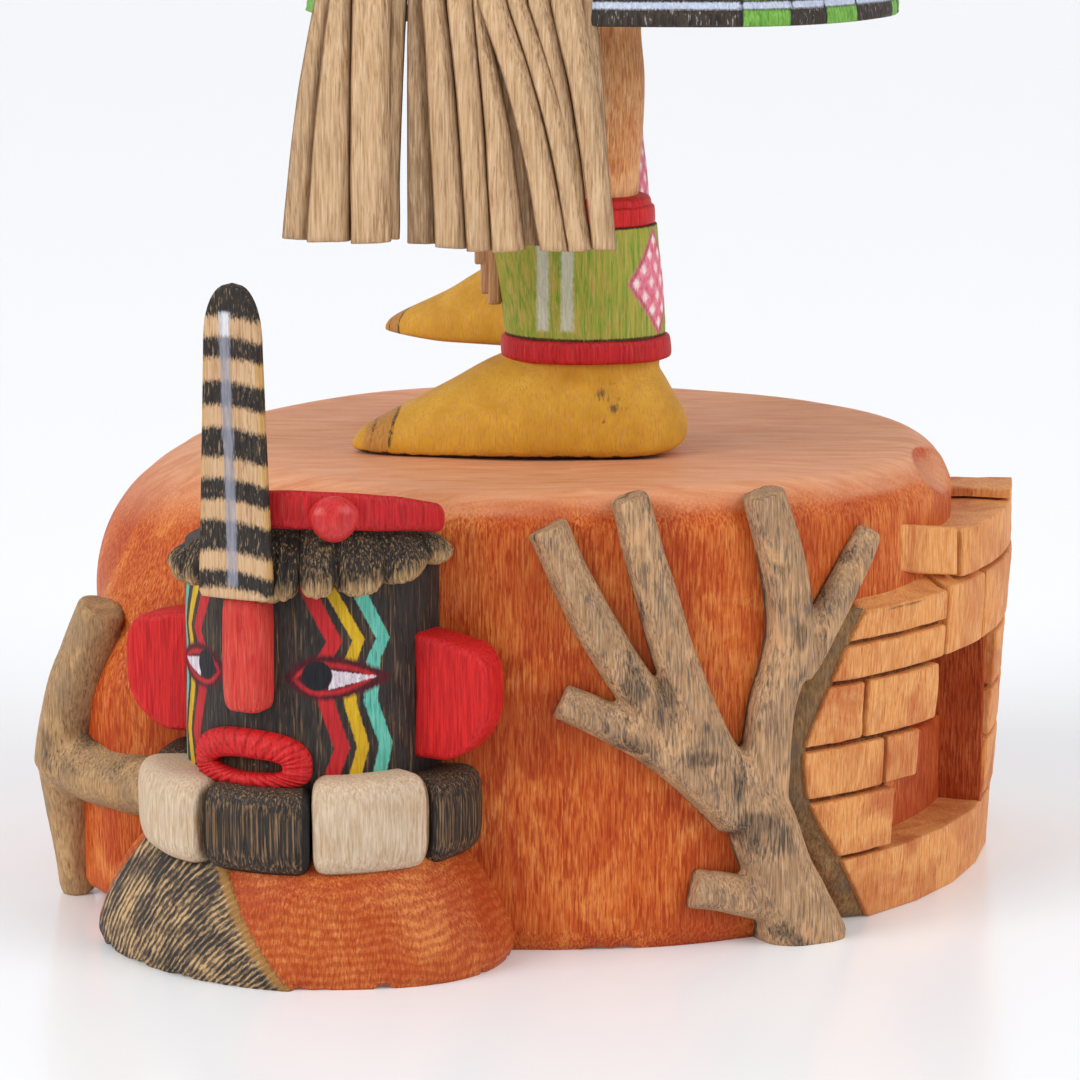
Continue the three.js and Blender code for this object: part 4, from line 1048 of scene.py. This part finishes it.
# painted shade: the dark sheet in the mouth's opening
throatWood = carvedWood("throatWood", tinted(headWood, "#120D0A", "#2E1F16", "#6A4A2E"), rough=0.8)
featherWood = carvedWood("featherWood", tinted(bare, "#AC8660", "#C8A27A", "#D8B896"), [
    coat("#B98A3A", "#D0A24C", mark="rim", edge=0.3, amount=0.6),
    coat("#1D1B1A", "#3C3631", mark="bar", edge=0.4, drift=0.45, grain=(0.3, 0.3, 0.9), bare=0.36, least=0.5,
         worn=(0.3, 0.3, 1.6)),
    coat("#7C8090", "#A6A6B0", mark="shaft", edge=0.2, drift=0.2, bare=0.2, least=0.5, amount=0.72),
    coat("#C9C8CC", "#E2E0E2", mark="quill", edge=0.3)], rough=0.6, relief=0.1)

for who, prefix, node, woodSlot in ((bust, "bust", "base", "stained_wood"),
                                    (dancer, "figure", "figure", "figure_wood")):
    for obj, solid, slotName, material in (
            (makeFace(prefix + "_face", who), node, woodSlot, faceWood),
            (makeHair(prefix + "_hair", who), node, woodSlot, hairWood),
            (makeRolls(prefix + "_rolls_black", who, 0), node, woodSlot, blackRoll),
            (makeRolls(prefix + "_rolls_white", who, 1), node, woodSlot, whiteRoll),
            (makeMouth(prefix + "_lips", who), node, woodSlot, lipWood),
            (makeThroat(prefix + "_throat", who), node, woodSlot, throatWood),
            (makeNose(prefix + "_nose_bar", who), prefix + "_nose", "red_paint", noseWood),
            (makeEar(prefix + "_lug_left", who, 1), prefix + "_ear_left", "red_paint", redWood),
            (makeEar(prefix + "_lug_right", who, -1), prefix + "_ear_right", "red_paint", redWood),
            (makeBand(prefix + "_band", who), prefix + "_headband", "red_paint", bandWood),
            (makeKnob(prefix + "_knob", who), prefix + "_headband", "red_paint", knobWood),
            (makeFeather(prefix + "_plume", who), prefix + "_feather", "feather_wood", featherWood)):
        done(obj, solid, material)
    print(prefix, "mask done")


# legs: moccasins, painted leggings with their bands and tassels, bare thighs
legs = {
    "sole": 72.3, "ankle": 8.2,
    "near": {"x": 0, "y": -16, "lift": 0, "toeOut": 0, "toeDown": 0, "outward": -1, "sides": 260},
    "far": {"x": -1.6, "y": 16, "lift": 13.2, "toeOut": -32, "toeDown": 4.3, "outward": 1, "turned": 32,
            "toeRise": 1.2, "soleRise": 0.9, "instep": 0.88, "sides": 160},
    "foot": [  # x, half width, underside, top
        (-29.5, 0.5, 0.4, 1.2), (-28.9, 1.8, 0.1, 2.2), (-27.2, 4.0, 0, 3.9), (-21.5, 7.2, 0, 7.0),
        (-13.4, 9.3, 0, 11.2), (-5, 10.2, 0, 15.6), (6, 10.6, 0, 18.2), (15, 10.4, 0, 16.4),
        (19.4, 9.2, 0.3, 14.0), (21.0, 8.2, 0.5, 12.2), (22.8, 6.4, 1.0, 9.0), (24.3, 3.6, 2.0, 6.6),
        (24.9, 1.3, 3.4, 4.8)],
    "section": [  # share across, share up
        (0.86, 0), (0.97, 0.06), (1, 0.25), (0.96, 0.48), (0.84, 0.72), (0.6, 0.91), (0.3, 0.985), (0, 1)],
    # the sleeves: height over the sole, x, half sizes
    "shin": [(8, 8.4, 12.2, 9.6), (12, 8.2, 12.0, 9.6), (17, 8.1, 12.4, 10.4)],
    "ankleBand": [(15.2, 8.5, 12.6, 10.4), (15.3, 8.5, 13.3, 11.0), (15.8, 8.5, 13.7, 11.4),
                  (17.1, 8.45, 13.75, 11.45), (18.5, 8.4, 13.6, 11.3), (18.9, 8.4, 13.2, 11.0),
                  (18.95, 8.4, 12.6, 10.4)],
    "legging": [(18.8, 8.4, 12.5, 10.4), (19.2, 8.3, 12.9, 10.8), (24, 7.9, 13.1, 11.1),
                (29, 7.3, 13.3, 11.4), (33, 6.7, 13.4, 11.5), (36.4, 6.4, 13.4, 11.6),
                (36.8, 6.4, 13.1, 11.3), (36.9, 6.4, 12.4, 10.7)],
    "kneeBand": [(36.7, 6.9, 11.6, 10.0), (36.8, 6.9, 12.3, 10.8), (37.3, 6.9, 12.6, 11.1),
                 (39.5, 6.8, 12.6, 11.1), (39.9, 6.8, 12.2, 10.8), (40.1, 6.8, 12.1, 10.7),
                 (40.9, 6.8, 11.9, 10.6), (41.3, 6.8, 11.4, 10.2), (41.5, 6.9, 10.2, 9.4)],
    "bare": [(40, 7, 9.8, 9.1), (42.6, 7, 9.9, 9.2), (50, 7.1, 10.25, 9.4), (60, 7.2, 10.5, 9.8),
             (69, 7.4, 9.7, 9.6), (76, 8.0, 11.0, 10.6), (84, 9, 13, 12)],
    "tassels": [  # strands down the front of the legging: x from, to, height from, to, half width
        (-9.5, -7.6, 30.2, 36.8, 1.7), (-8.5, -6.5, 25.4, 36.8, 1.6), (-7.4, -5.2, 23.8, 36.8, 2.1)],
    "stripes": (-6.55, -2.7), "stripeHalf": 0.92,
    "diamond": {"azimuth": 66, "halfWide": 34.0, "middle": 27.9, "halfTall": 8.8},  # degrees, mm
}


def stood(points, leg, back=1):  # from the leg's own frame to the part's, or back with -1
    return points + back * np.array((leg["x"], leg["y"], legs["sole"] + leg["lift"]))


def pointed(points, leg):  # the moccasin is turned about the ankle
    x, z = turned(points[..., 0] - legs["ankle"], points[..., 2], leg["toeDown"])
    x, y = turned(x, points[..., 1], leg["toeOut"])
    return np.stack([x + legs["ankle"], y, z], axis=-1)


def unpointed(points, leg):
    x, y = turned(points[..., 0] - legs["ankle"], points[..., 1], -leg["toeOut"])
    x, z = turned(x, points[..., 2], -leg["toeDown"])
    return np.stack([x + legs["ankle"], y, z], axis=-1)


def level(rows, perSpan, sides):  # level rings through height, x and half sizes
    return np.array([oval(x, 0, z, (halfX, halfX, halfY, halfY), (2, 2), sides)
                     for z, x, halfX, halfY in eased(rows, perSpan)])


def sleeve(name, rows, leg, perSpan=3, sides=120):
    return skinned(name, stood(level(rows, perSpan, sides), leg))


def makeMoccasin(name, leg):
    half = eased(legs["section"], 4)
    loop = np.concatenate([np.stack([np.linspace(-0.86, 0.86, 12)[:-1], np.zeros(11)], axis=-1), half,
                           (half * (-1, 1))[::-1][1:-1]])
    x, wide, low, high = eased(legs["foot"], 6).T
    rise = leg.get("toeRise", 0) * smooth(x, -12, -29)
    low = low + rise + leg.get("soleRise", 0) * smooth(x, 8, -20)
    high = high * lerp(1, leg.get("instep", 1), smooth(x, 6, -6)) + rise
    rings = np.array([[(x[n], wide[n] * across, low[n] + (high[n] - low[n]) * up) for across, up in loop]
                      for n in range(len(x))])
    foot = skinned(name, stood(pointed(rings, leg), leg))
    obj = fused(name, [foot, sleeve(name + "_shin", legs["shin"], leg, 4, 64)], 0.6)
    flat = unpointed(stood(places(obj), leg, -1), leg)
    x, y, z = flat.T
    along = x + (0.06 * y * y - 0.25 * z) * 0.4
    mark(obj, "toeBand", np.minimum(along + 27.3, -22.6 - along))
    lines = np.minimum(np.abs(along + 22.4), np.abs(along + 25.9) + 0.15 * np.abs(z - 4))
    mark(obj, "toeLine", 0.2 + 0.12 * lumps(flat, 1.5, 23) - lines)
    # painted shade along the sole where it meets the ground
    mark(obj, "deep", smooth(z + 0.25 * lumps(flat, 1.2, 21), 0.7, 0.1) * 1.8 - 1)
    speck = lumps(flat, 0.75, 22) + 0.7 * lumps(flat, 1.6, 24) - 0.4
    heel = smooth(np.hypot((x - 12.0) / 3.0, (z - 9.0) / 4.6), 0.2, 1.5)
    mark(obj, "scuff", np.where(y * leg["outward"] > 0, speck * 0.6 - heel * 0.9, -3))
    return obj


def makeLegging(name, leg):
    obj = sleeve(name, legs["legging"], leg, 10, leg["sides"])
    own = stood(places(obj), leg, -1)
    x, out, z = own[:, 0] - 8, own[:, 1] * leg["outward"], own[:, 2]
    stripe = legs["stripeHalf"] - np.min([np.abs(x - at) for at in legs["stripes"]], axis=0)
    mark(obj, "whiteStripe", np.where(out > 0, np.minimum(stripe, z - 20.6), -3))
    diamond = legs["diamond"]
    azimuth = np.degrees(np.arctan2(x / 13.2, out / 11.4))
    u = (azimuth - diamond["azimuth"] - leg.get("turned", 0)) / diamond["halfWide"]
    v = (z - diamond["middle"]) / diamond["halfTall"]
    inside = (1 - np.abs(u) - np.abs(v)) * 5.8
    mark(obj, "diamond", inside)
    mark(obj, "diamondLine", 0.3 - np.abs(inside - 0.35))
    cell = 0.22 - np.max([np.abs(w - np.floor(w) - 0.5) for w in ((u + v) * 2, (u - v) * 2)], axis=0)
    mark(obj, "lattice", np.minimum(cell * 3.0, inside - 0.7))
    # painted shade under the knee band and above the ankle band
    mark(obj, "deep", np.maximum(smooth(z, 19.8, 19.0), smooth(z, 36.3, 36.8) * 0.8) * 1.8 - 1)
    return obj


def makeTassels(name, leg):
    c, s = squared(36, 0.45)
    strands = []
    for n, (start, end, low, high, half) in enumerate(legs["tassels"]):
        middle, wide = (start + end) / 2, (end - start) / 2
        rings = [np.stack([middle + wide * c * size, half * s * size, np.full(36, z)], axis=-1)
                 for z, size in zip(np.linspace(low, high, 26), [0.86] + [1.0] * 25)]
        strands.append(knifeCut(skinned(name + str(n), stood(np.array(rings), leg)), 0.08, 80 + n))
    return joined(name, strands)


ochre = {"dark": "#B47C30", "middle": "#C48E3E", "light": "#D4A458",
         "fibre": (0.3, 0.3, 1.8), "fleck": (0.3, 0.3, 1.4), "cloud": (6, 6, 6),
         "fleckColour": "#BC7E30", "fleckFrom": 0.6, "fleckAmount": 0.4}
footWood = carvedWood("moccasinWood", ochre, [
    coat("#C48C1E", "#DCA638", bare=0.46, least=0.2, worn=(0.3, 0.3, 2.2), tone=(5, 5, 5)),
    coat("#9C6428", "#C08848", mark="toeBand", edge=0.3, amount=0.85),
    coat("#2A1D14", "#4A3524", mark="toeLine", edge=0.2, bare=0.2),
    coat("#2E2A26", "#5C4A34", mark="scuff", edge=0.25, amount=0.8),
    # the last coat is painted shade along the sole
    coat("#2C1C12", "#4A3020", mark="deep", edge=0.4, least=0.2)], rough=0.55, relief=0.16)
leggingWood = carvedWood("leggingWood", tinted(bare, "#A88C40", "#BCA054", "#CEB470", fibre=(0.32, 0.32, 5.0),
                                               fleckAmount=0.2), [
    coat("#5E902A", "#B4AC46", bare=0.45, least=0.15, worn=(0.4, 0.4, 5.0), tone=(0.5, 0.5, 6.0)),
    coat("#B4B89C", "#D4D4C2", mark="whiteStripe", edge=0.3, bare=0.34, least=0.4, drift=0.2,
         grain=(0.3, 0.3, 0.9), worn=(0.3, 0.3, 0.8)),
    coat("#D25C74", "#F094A4", mark="diamond", edge=0.3, least=0.5, tone=(0.6, 0.6, 1.2), drift=0.15),
    coat("#F0D0D0", "#FFF0F0", mark="lattice", edge=0.3, drift=0.2, grain=(0.3, 0.3, 0.6)),
    coat("#8E3A4E", "#B4586A", mark="diamondLine", edge=0.25, bare=0.35, amount=0.8),
    # painted shade at the legging's top and bottom edges
    coat("#3A2A18", "#5A4424", mark="deep", edge=0.35, least=0.1)], rough=0.6, relief=0.12)
skin = tinted(stain, "#CC7E46", "#ECAC70", "#FACC9A", fleckColour="#A84A1C", fleckAmount=0.5,
              patch={"size": (6, 6, 9), "amount": 0.6, "colour": "#C06428", "faded": "#EEB47E"})
bareLegWood = carvedWood("bareLegWood", skin, rough=0.55, relief=0.1)
tasselWood = carvedWood("tasselWood", tinted(bare, "#96663F", "#B98A62", "#D2A880"), rough=0.6)

for side in ("near", "far"):
    leg = legs[side]
    for obj, material in (
            (makeMoccasin(side + "_moccasin", leg), footWood),
            (knifeCut(sleeve(side + "_ankle_band", legs["ankleBand"], leg), 0.12, 30), bandWood),
            (makeLegging(side + "_legging", leg), leggingWood),
            (knifeCut(sleeve(side + "_knee_band", legs["kneeBand"], leg), 0.12, 31), redWood),
            (knifeCut(sleeve(side + "_bare_leg", legs["bare"], leg, 8), 0.16, 32), bareLegWood),
            (makeTassels(side + "_tassels", leg), tasselWood)):
        done(obj, "figure", material)
print("legs done")


# the kilt, hollow underneath, and the sash wound round the waist
kilt = {
    "middle": 26, "hem": 142.2, "curve": (2, 2), "wall": 3.2, "hollow": 9, "taper": 6,
    "levels": [  # height, widest at x, left, right, near, far
        (142.2, 26, 63.3, 33.3, 48, 44), (144, 26, 63.1, 33.2, 47.8, 43.9),
        (148, 24.4, 60.4, 33.4, 46.4, 42.7), (156, 20, 53.6, 33.8, 42.6, 39.6),
        (170, 15, 42, 31, 35.2, 33.6), (184, 11.6, 31.4, 27.8, 28.4, 27.4), (194, 10, 26, 26, 24, 24),
        (196, 10, 24, 24, 22, 22)],
    "waist": [
        (193.6, 10, 24, 24, 22, 22), (193.8, 10, 26.4, 26.4, 24.4, 24.4), (194.6, 10, 27.4, 27.4, 25.4, 25.4),
        (198, 10, 27.3, 27.3, 25.3, 25.3), (201.6, 10, 26.9, 26.9, 24.9, 24.9),
        (202.4, 10, 26, 26, 24.2, 24.2), (202.5, 10, 22, 22, 20, 20)],
    "border": 2.45, "line": 0.22, "pale": 1.25, "panel": 12.5, "upper": [(12.8, 14.2), (40, 41.2)],
    "greens": [(-83.4, -73.4), (-64.7, -53.4), (-34, -22), (-12, 2), (24, 38), (60, 74), (96, 110),
               (132, 146), (-140, -126), (-178, -166)],  # azimuths about the kilt's middle
}


def kiltRing(row, grow=0, rise=0, count=420):
    z, x, left, right, front, back = row
    return oval(x, 0, z + rise, (left + grow, right + grow, front + grow, back + grow), kilt["curve"], count)


def makeKilt():
    wall, levels = kilt["wall"], kilt["levels"]
    rings = [kiltRing(levels[0], grow, rise) for grow, rise in (
        (-wall - kilt["taper"], kilt["hollow"]), (-wall - 1, 3), (-wall, -0.1), (-1.2, -0.2), (-0.4, -0.05))]
    obj = skinned("kilt", rings + [kiltRing(row) for row in eased(levels, 12)])
    p = places(obj)
    azimuth = np.degrees(np.arctan2(p[:, 1], p[:, 0] - kilt["middle"]))
    outside = smooth(p[:, 2], 141.8, 142.6)
    fold = np.sin(np.radians(azimuth) * 9 + 0.6) * 0.35 * smooth(p[:, 2], 190, 150)
    p += awayFrom(p, kilt["middle"], 0) * ((fold + 0.12 * lumps(p, (3, 3, 10), 33)) * outside)[:, None]
    move(obj, p)
    up, border, pale = p[:, 2] - kilt["hem"], kilt["border"], kilt["border"] + kilt["pale"]
    perDegree = np.radians(np.hypot(p[:, 0] - kilt["middle"], p[:, 1]))
    block = np.max([np.minimum(azimuth - a, b - azimuth) for a, b in kilt["greens"]], axis=0) * perDegree
    cloth = np.where(outside > 0.3, border - up, border)
    panel = np.minimum(up - pale, kilt["panel"] - up)
    lines = np.max([kilt["line"] - np.abs(block), 0.12 - np.abs(up - border), 0.16 - np.abs(up - pale)],
                   axis=0)
    mark(obj, "hemBlack", cloth)
    mark(obj, "hemGreen", np.minimum(cloth, block - 0.2))
    mark(obj, "paleLine", np.minimum(up - border, pale - up))
    mark(obj, "panelBlack", panel)
    mark(obj, "panelGreen", np.minimum(panel, block - 0.2))
    mark(obj, "divider", np.minimum(lines, kilt["panel"] - up))
    mark(obj, "upperLine", np.max([np.minimum(up - a, b - up) for a, b in kilt["upper"]], axis=0))
    return obj


def makeWaist():
    rings = [kiltRing(row, count=200) for row in eased(kilt["waist"], 5)]
    return knifeCut(skinned("waist_sash", rings), 0.25, 35)


clothPaint = {"drift": 0.08, "edge": 0.12}
kiltWood = carvedWood("kiltWood", tinted(bare, "#B59C7C", "#CDB898", "#E0D2B8"), [
    coat("#C9C4BC", "#E4E0D8", bare=0.33, least=0.4),
    coat("#A3ACC4", "#D3DAE8", mark="paleLine", least=0.5, tone=(0.4, 0.4, 0.8), **clothPaint),
    coat("#1F1C1B", "#453C36", mark="panelBlack", bare=0.35, least=0.4, **clothPaint),
    {**greenPaint, **clothPaint, "mark": "panelGreen", "bare": 0.33, "least": 0.4, "tone": (0.45, 0.45, 2.5)},
    coat("#26211E", "#4A4038", mark="hemBlack", bare=0.34, worn=(0.4, 0.4, 2.5), least=0.3, **clothPaint),
    {**greenPaint, **clothPaint, "mark": "hemGreen", "bare": 0.38, "least": 0.3, "worn": (0.4, 0.4, 2.5),
     "tone": (0.45, 0.45, 2.0)},
    coat("#8E1C20", "#C03030", mark="upperLine", drift=0.08, edge=0.15, least=0.5),
    coat("#1A1818", "#302C2A", mark="divider", bare=0.15, **clothPaint)], rough=0.6, relief=0.12)
waistWood = carvedWood("waistSashWood", tinted(bare, "#A58A64", "#C4A984", "#DCC8A8"), [
    coat("#CFC6B6", "#E6DFD2", bare=0.4, least=0.3)], rough=0.6, relief=0.14)
done(makeKilt(), "figure", kiltWood)
done(makeWaist(), "figure", waistWood)
print("kilt done")


# the fringed end of the sash, hanging in front of the kilt
sash = {
    "thickness": 5.0, "hem": 146,
    "levels": [  # height, left x, slit x, right x, front y
        (107, -38.4, -20.1, 12.3, -48.6), (124, -36.2, -19.9, 11, -48.8), (133, -35, -19.8, 10.3, -48.8),
        (146, -33.4, -19.2, 9.3, -48), (166, -29, -15.6, 9, -41.6), (184, -23, -9.8, 9, -34),
        (198, -19.5, -6.5, 9, -30.6)],
    "left": [  # x from, to at the hem's height, x from, to at the cut end, set back, height of the end, darker tone: the strand's own tone, and painted shade on strands set back
        (-33.1, -30.0, -38.3, -33.9, 0.7, 110.8, 0.7), (-30.9, -27.3, -34.5, -27.8, 0.1, 110.4, 0.1),
        (-27.4, -21.5, -27.9, -21.7, 0.0, 110.2, 0.0), (-21.9, -19.2, -22.3, -20.5, 1.6, 110.6, 0.6)],
    "right": [
        (-19.0, -16.3, -19.3, -14.6, 1.9, 109.9, 1.0), (-16.9, -13.1, -15.1, -10.2, 0.4, 109.4, 0.2),
        (-13.2, -9.1, -10.3, -6.4, 0.1, 109.0, 0.1), (-9.2, -7.6, -6.5, -1.4, 0.3, 108.9, 0.0),
        (-8.6, -5.0, -3.0, 1.4, 2.4, 109.6, 1.0), (-8.4, -4.0, 0.7, 5.1, -0.2, 109.0, 0.0),
        (-4.1, -0.9, 5.0, 8.9, 0.1, 109.0, 0.1), (-1.0, 2.7, 7.6, 8.6, 0.3, 114.0, 0.3),
        (2.5, 7.4, 8.7, 12.5, 0.0, 109.2, 0.2), (7.0, 9.4, 10.4, 12.0, 1.5, 116.0, 0.5)],
}


def strandSides(strand, z):  # left and right edge at that height; above the hem all draw together
    levels = np.array(sash["levels"])
    hem = levels[3]
    if z <= sash["hem"]:
        t = (sash["hem"] - z) / 36
        return [lerp(a, b, min(t, 1.03) + 0.12 * math.sin(min(t, 1) * math.pi))
                for a, b in zip(strand[:2], strand[2:4])]
    left, right = np.interp(z, levels[:, 0], levels[:, 1]), np.interp(z, levels[:, 0], levels[:, 3])
    return [left + (x - hem[1]) / (hem[3] - hem[1]) * (right - left) for x in strand[:2]]


def makeStrand(name, strand, seed):
    back, low, washAndShade = strand[4], strand[5] - 0.8, strand[6]
    heights, _, _, _, fronts = np.array(sash["levels"]).T
    depth = sash["thickness"] - max(back, 0) * 0.3
    u = np.linspace(0, 1, 24)
    rings = []
    for n, z in enumerate(np.concatenate([[low, low + 0.25], np.arange(low + 1.0, 198, 1.2)])):
        left, right = strandSides(strand, z)
        width = max(right - left, 0.4)
        front = np.interp(z, heights, fronts) + back
        a, b = np.clip(u * width / 0.7, 0, 1), np.clip((1 - u) * width / 0.6, 0, 1)
        slope = np.clip((1.7 - (1 - u) * width) / 1.7, 0, 1)  # the knife slopes down to the next strand
        drop = (1 - np.sqrt(1 - (1 - a) ** 2)) * 0.9 + (1 - np.sqrt(1 - (1 - b) ** 2)) * 1.2 + slope * 0.9
        drop += (0.25 if n == 0 else 0) - 0.15 * np.sin(np.pi * u)
        rise = 0.35 * math.sin(seed * 1.7) if n < 2 else 0  # each end is cut at its own slant
        ring = np.stack([lerp(left, right, u), front + drop, z + rise * (u - 0.5)], axis=-1)
        rings.append(np.concatenate([ring, [(x, front + depth, z) for x in (
            right - 0.15, lerp(left, right, 0.5), left + 0.15)]]))
    obj = skinned(name, rings)
    p = places(obj)
    edge = np.array([strandSides(strand, z) for z in p[:, 2]])
    share = np.minimum(p[:, 0] - edge[:, 0], edge[:, 1] - p[:, 0])
    slope = smooth(edge[:, 1] - p[:, 0], 1.8, 1.2) * 0.5
    # painted shade in the grooves between strands, on each strand's right slope and on strands set back
    mark(obj, "deep", np.max([smooth(share, 0.45, 0.02), slope, np.full(len(p), 0.5 * (back > 1.4))], axis=0))
    # each strand's own darker tone, with painted shade on the strands set back
    mark(obj, "washAndShade", np.full(len(p), washAndShade * 1.4 - 0.7))
    return knifeCut(obj, 0.1, seed)


# the fringe's shade is painted shade in the grooves between the strands
fringeWood = carvedWood("fringeWood", tinted(
    bare, "#A87E56", "#D0AA80", "#E8C8A2", fibre=(0.3, 0.3, 6.0), cloud=(4, 4, 12),
    shade={"colour": "#5E4028", "amount": 0.6}), [
    # darker strands: their own tone, and painted shade on those set back
    coat("#6E5844", "#967A5E", mark="washAndShade", edge=1.2, drift=0.8, grain=(0.5, 0.5, 9.0), bare=0.4, least=0.1,
         amount=0.6)], rough=0.66, relief=0.16)
for side, seed in (("left", 40), ("right", 50)):
    strands = [makeStrand(side + "_strand" + str(n), strand, seed + n) for n, strand in enumerate(sash[side])]
    done(joined("fringe_" + side, strands), "sash", fringeWood)
print("fringe done")


# torso and arms, carved in one
body = {
    "torso": [(198, 9.6, 20, 21.5), (212, 8.6, 17, 20.4), (228, 7.2, 17.6, 23.6), (244, 5.6, 17.6, 26.4),
              (255, 4.6, 15, 25.6), (262, 3.8, 11.6, 18), (268, 3, 10.4, 11), (276, 2.4, 10, 10.4)],
    "arms": [  # shoulder, elbow, wrist, hand; x, y, z, radius
        [(5, -24, 253, 8.2), (8, -34, 240, 7.4), (11.5, -38.5, 221, 6.6), (-6, -38, 222, 6.2),
         (-20, -34, 227, 5), (-24, -33, 229, 5.4), (-31, -31, 232, 6.4), (-35, -30, 233, 4)],
        [(5, 24, 253, 8.2), (8, 34, 240, 7.4), (10.5, 39, 222, 6.6), (-6, 38.5, 227, 6.2),
         (-17, 35, 239, 5), (-20, 34, 243, 5.4), (-24, 32, 250, 6.4), (-26, 31, 254, 4)]],
    "cuff": (-19.0, 2.1), "armBand": (244, 2.1),  # middle and half width, along x and up
}


def makeBody():
    parts = [skinned("torso", level(body["torso"], 6, 72))]
    parts += [limb("arm", run, 36, 0.9, 7) for run in body["arms"]]
    obj = knifeCut(fused("torso_and_arms", parts, 1.25), 0.3, 36)
    x, y, z = places(obj).T
    for name, value, where in (("cuff", x, np.abs(y) > 28), ("armBand", z, (np.abs(y) > 24) & (x > 0))):
        at, half = body[name]
        mark(obj, name, np.where(where, half - np.abs(value - at), -3))
    return obj


bodyWood = carvedWood("bodyWood", skin, [
    {"mark": "cuff", **redPaint}, {"mark": "armBand", "least": 0.4, **greenPaint}], rough=0.6, relief=0.12)
done(makeBody(), "figure", bodyWood)
print("torso done")


# the studio: a pale table, a lit white wall behind it, softboxes and the camera
sheets = {
    "studio_floor": {"material": "paleAcrylic", "size": 30, "location": (0, 0, 0), "tilt": 0, "look": {
        "Base Color": linear("#F4F6F8"), "Roughness": 0.2, "Specular IOR Level": 0.46,
        "Emission Color": linear("#F2FBFA"), "Emission Strength": 0.07}},
    "studio_backdrop": {"material": "litPaper", "size": 12, "location": (0, 3, 0), "tilt": 90, "look": {
        "Base Color": linear("#808080"), "Roughness": 1.0,
        "Emission Color": linear("#FBFAFF"), "Emission Strength": 0.46}},
}


def makeSheet(name, sheet):
    bpy.ops.mesh.primitive_plane_add(size=sheet["size"], location=sheet["location"],
                                     rotation=(math.radians(sheet["tilt"]), 0, 0))
    obj = fresh(name)
    material = bpy.data.materials.new(sheet["material"])
    material.use_nodes = True
    for key, value in sheet["look"].items():
        material.node_tree.nodes["Principled BSDF"].inputs[key].default_value = value
    obj.data.materials.append(material)


def addSun(name, azimuth, elevation, strength, spread):  # azimuth 0 shines from the camera's side
    data = bpy.data.lights.new(name, "SUN")
    data.energy, data.angle = strength, math.radians(spread)
    obj = bpy.data.objects.new(name, data)
    bpy.context.scene.collection.objects.link(obj)
    obj.rotation_euler = (math.radians(90 - elevation), 0, math.radians(azimuth))


for name, sheet in sheets.items():
    makeSheet(name, sheet)
addSun("left_softbox", -58, 30, 1.75, 36)
addSun("right_softbox", 62, 32, 1.25, 40)
addSun("overhead", 180, 70, 0.4, 60)
world = bpy.data.worlds.new("paleStudio")
world.use_nodes = True
world.node_tree.nodes["Background"].inputs["Color"].default_value = linear("#FCFBFF")
world.node_tree.nodes["Background"].inputs["Strength"].default_value = 0.5
bpy.context.scene.world = world
bpy.context.scene.view_settings.view_transform = "Standard"

camera = bpy.data.cameras.new("camera")
camera.sensor_width = 36
camera.lens = 131.33
camera.clip_start = 0.01
cameraObject = bpy.data.objects.new("camera", camera)
cameraObject.location = (0.001, -0.646, 0.178)
cameraObject.rotation_euler = (math.radians(79.15), 0, 0)
bpy.context.scene.collection.objects.link(cameraObject)
bpy.context.scene.camera = cameraObject

print("scene ready")
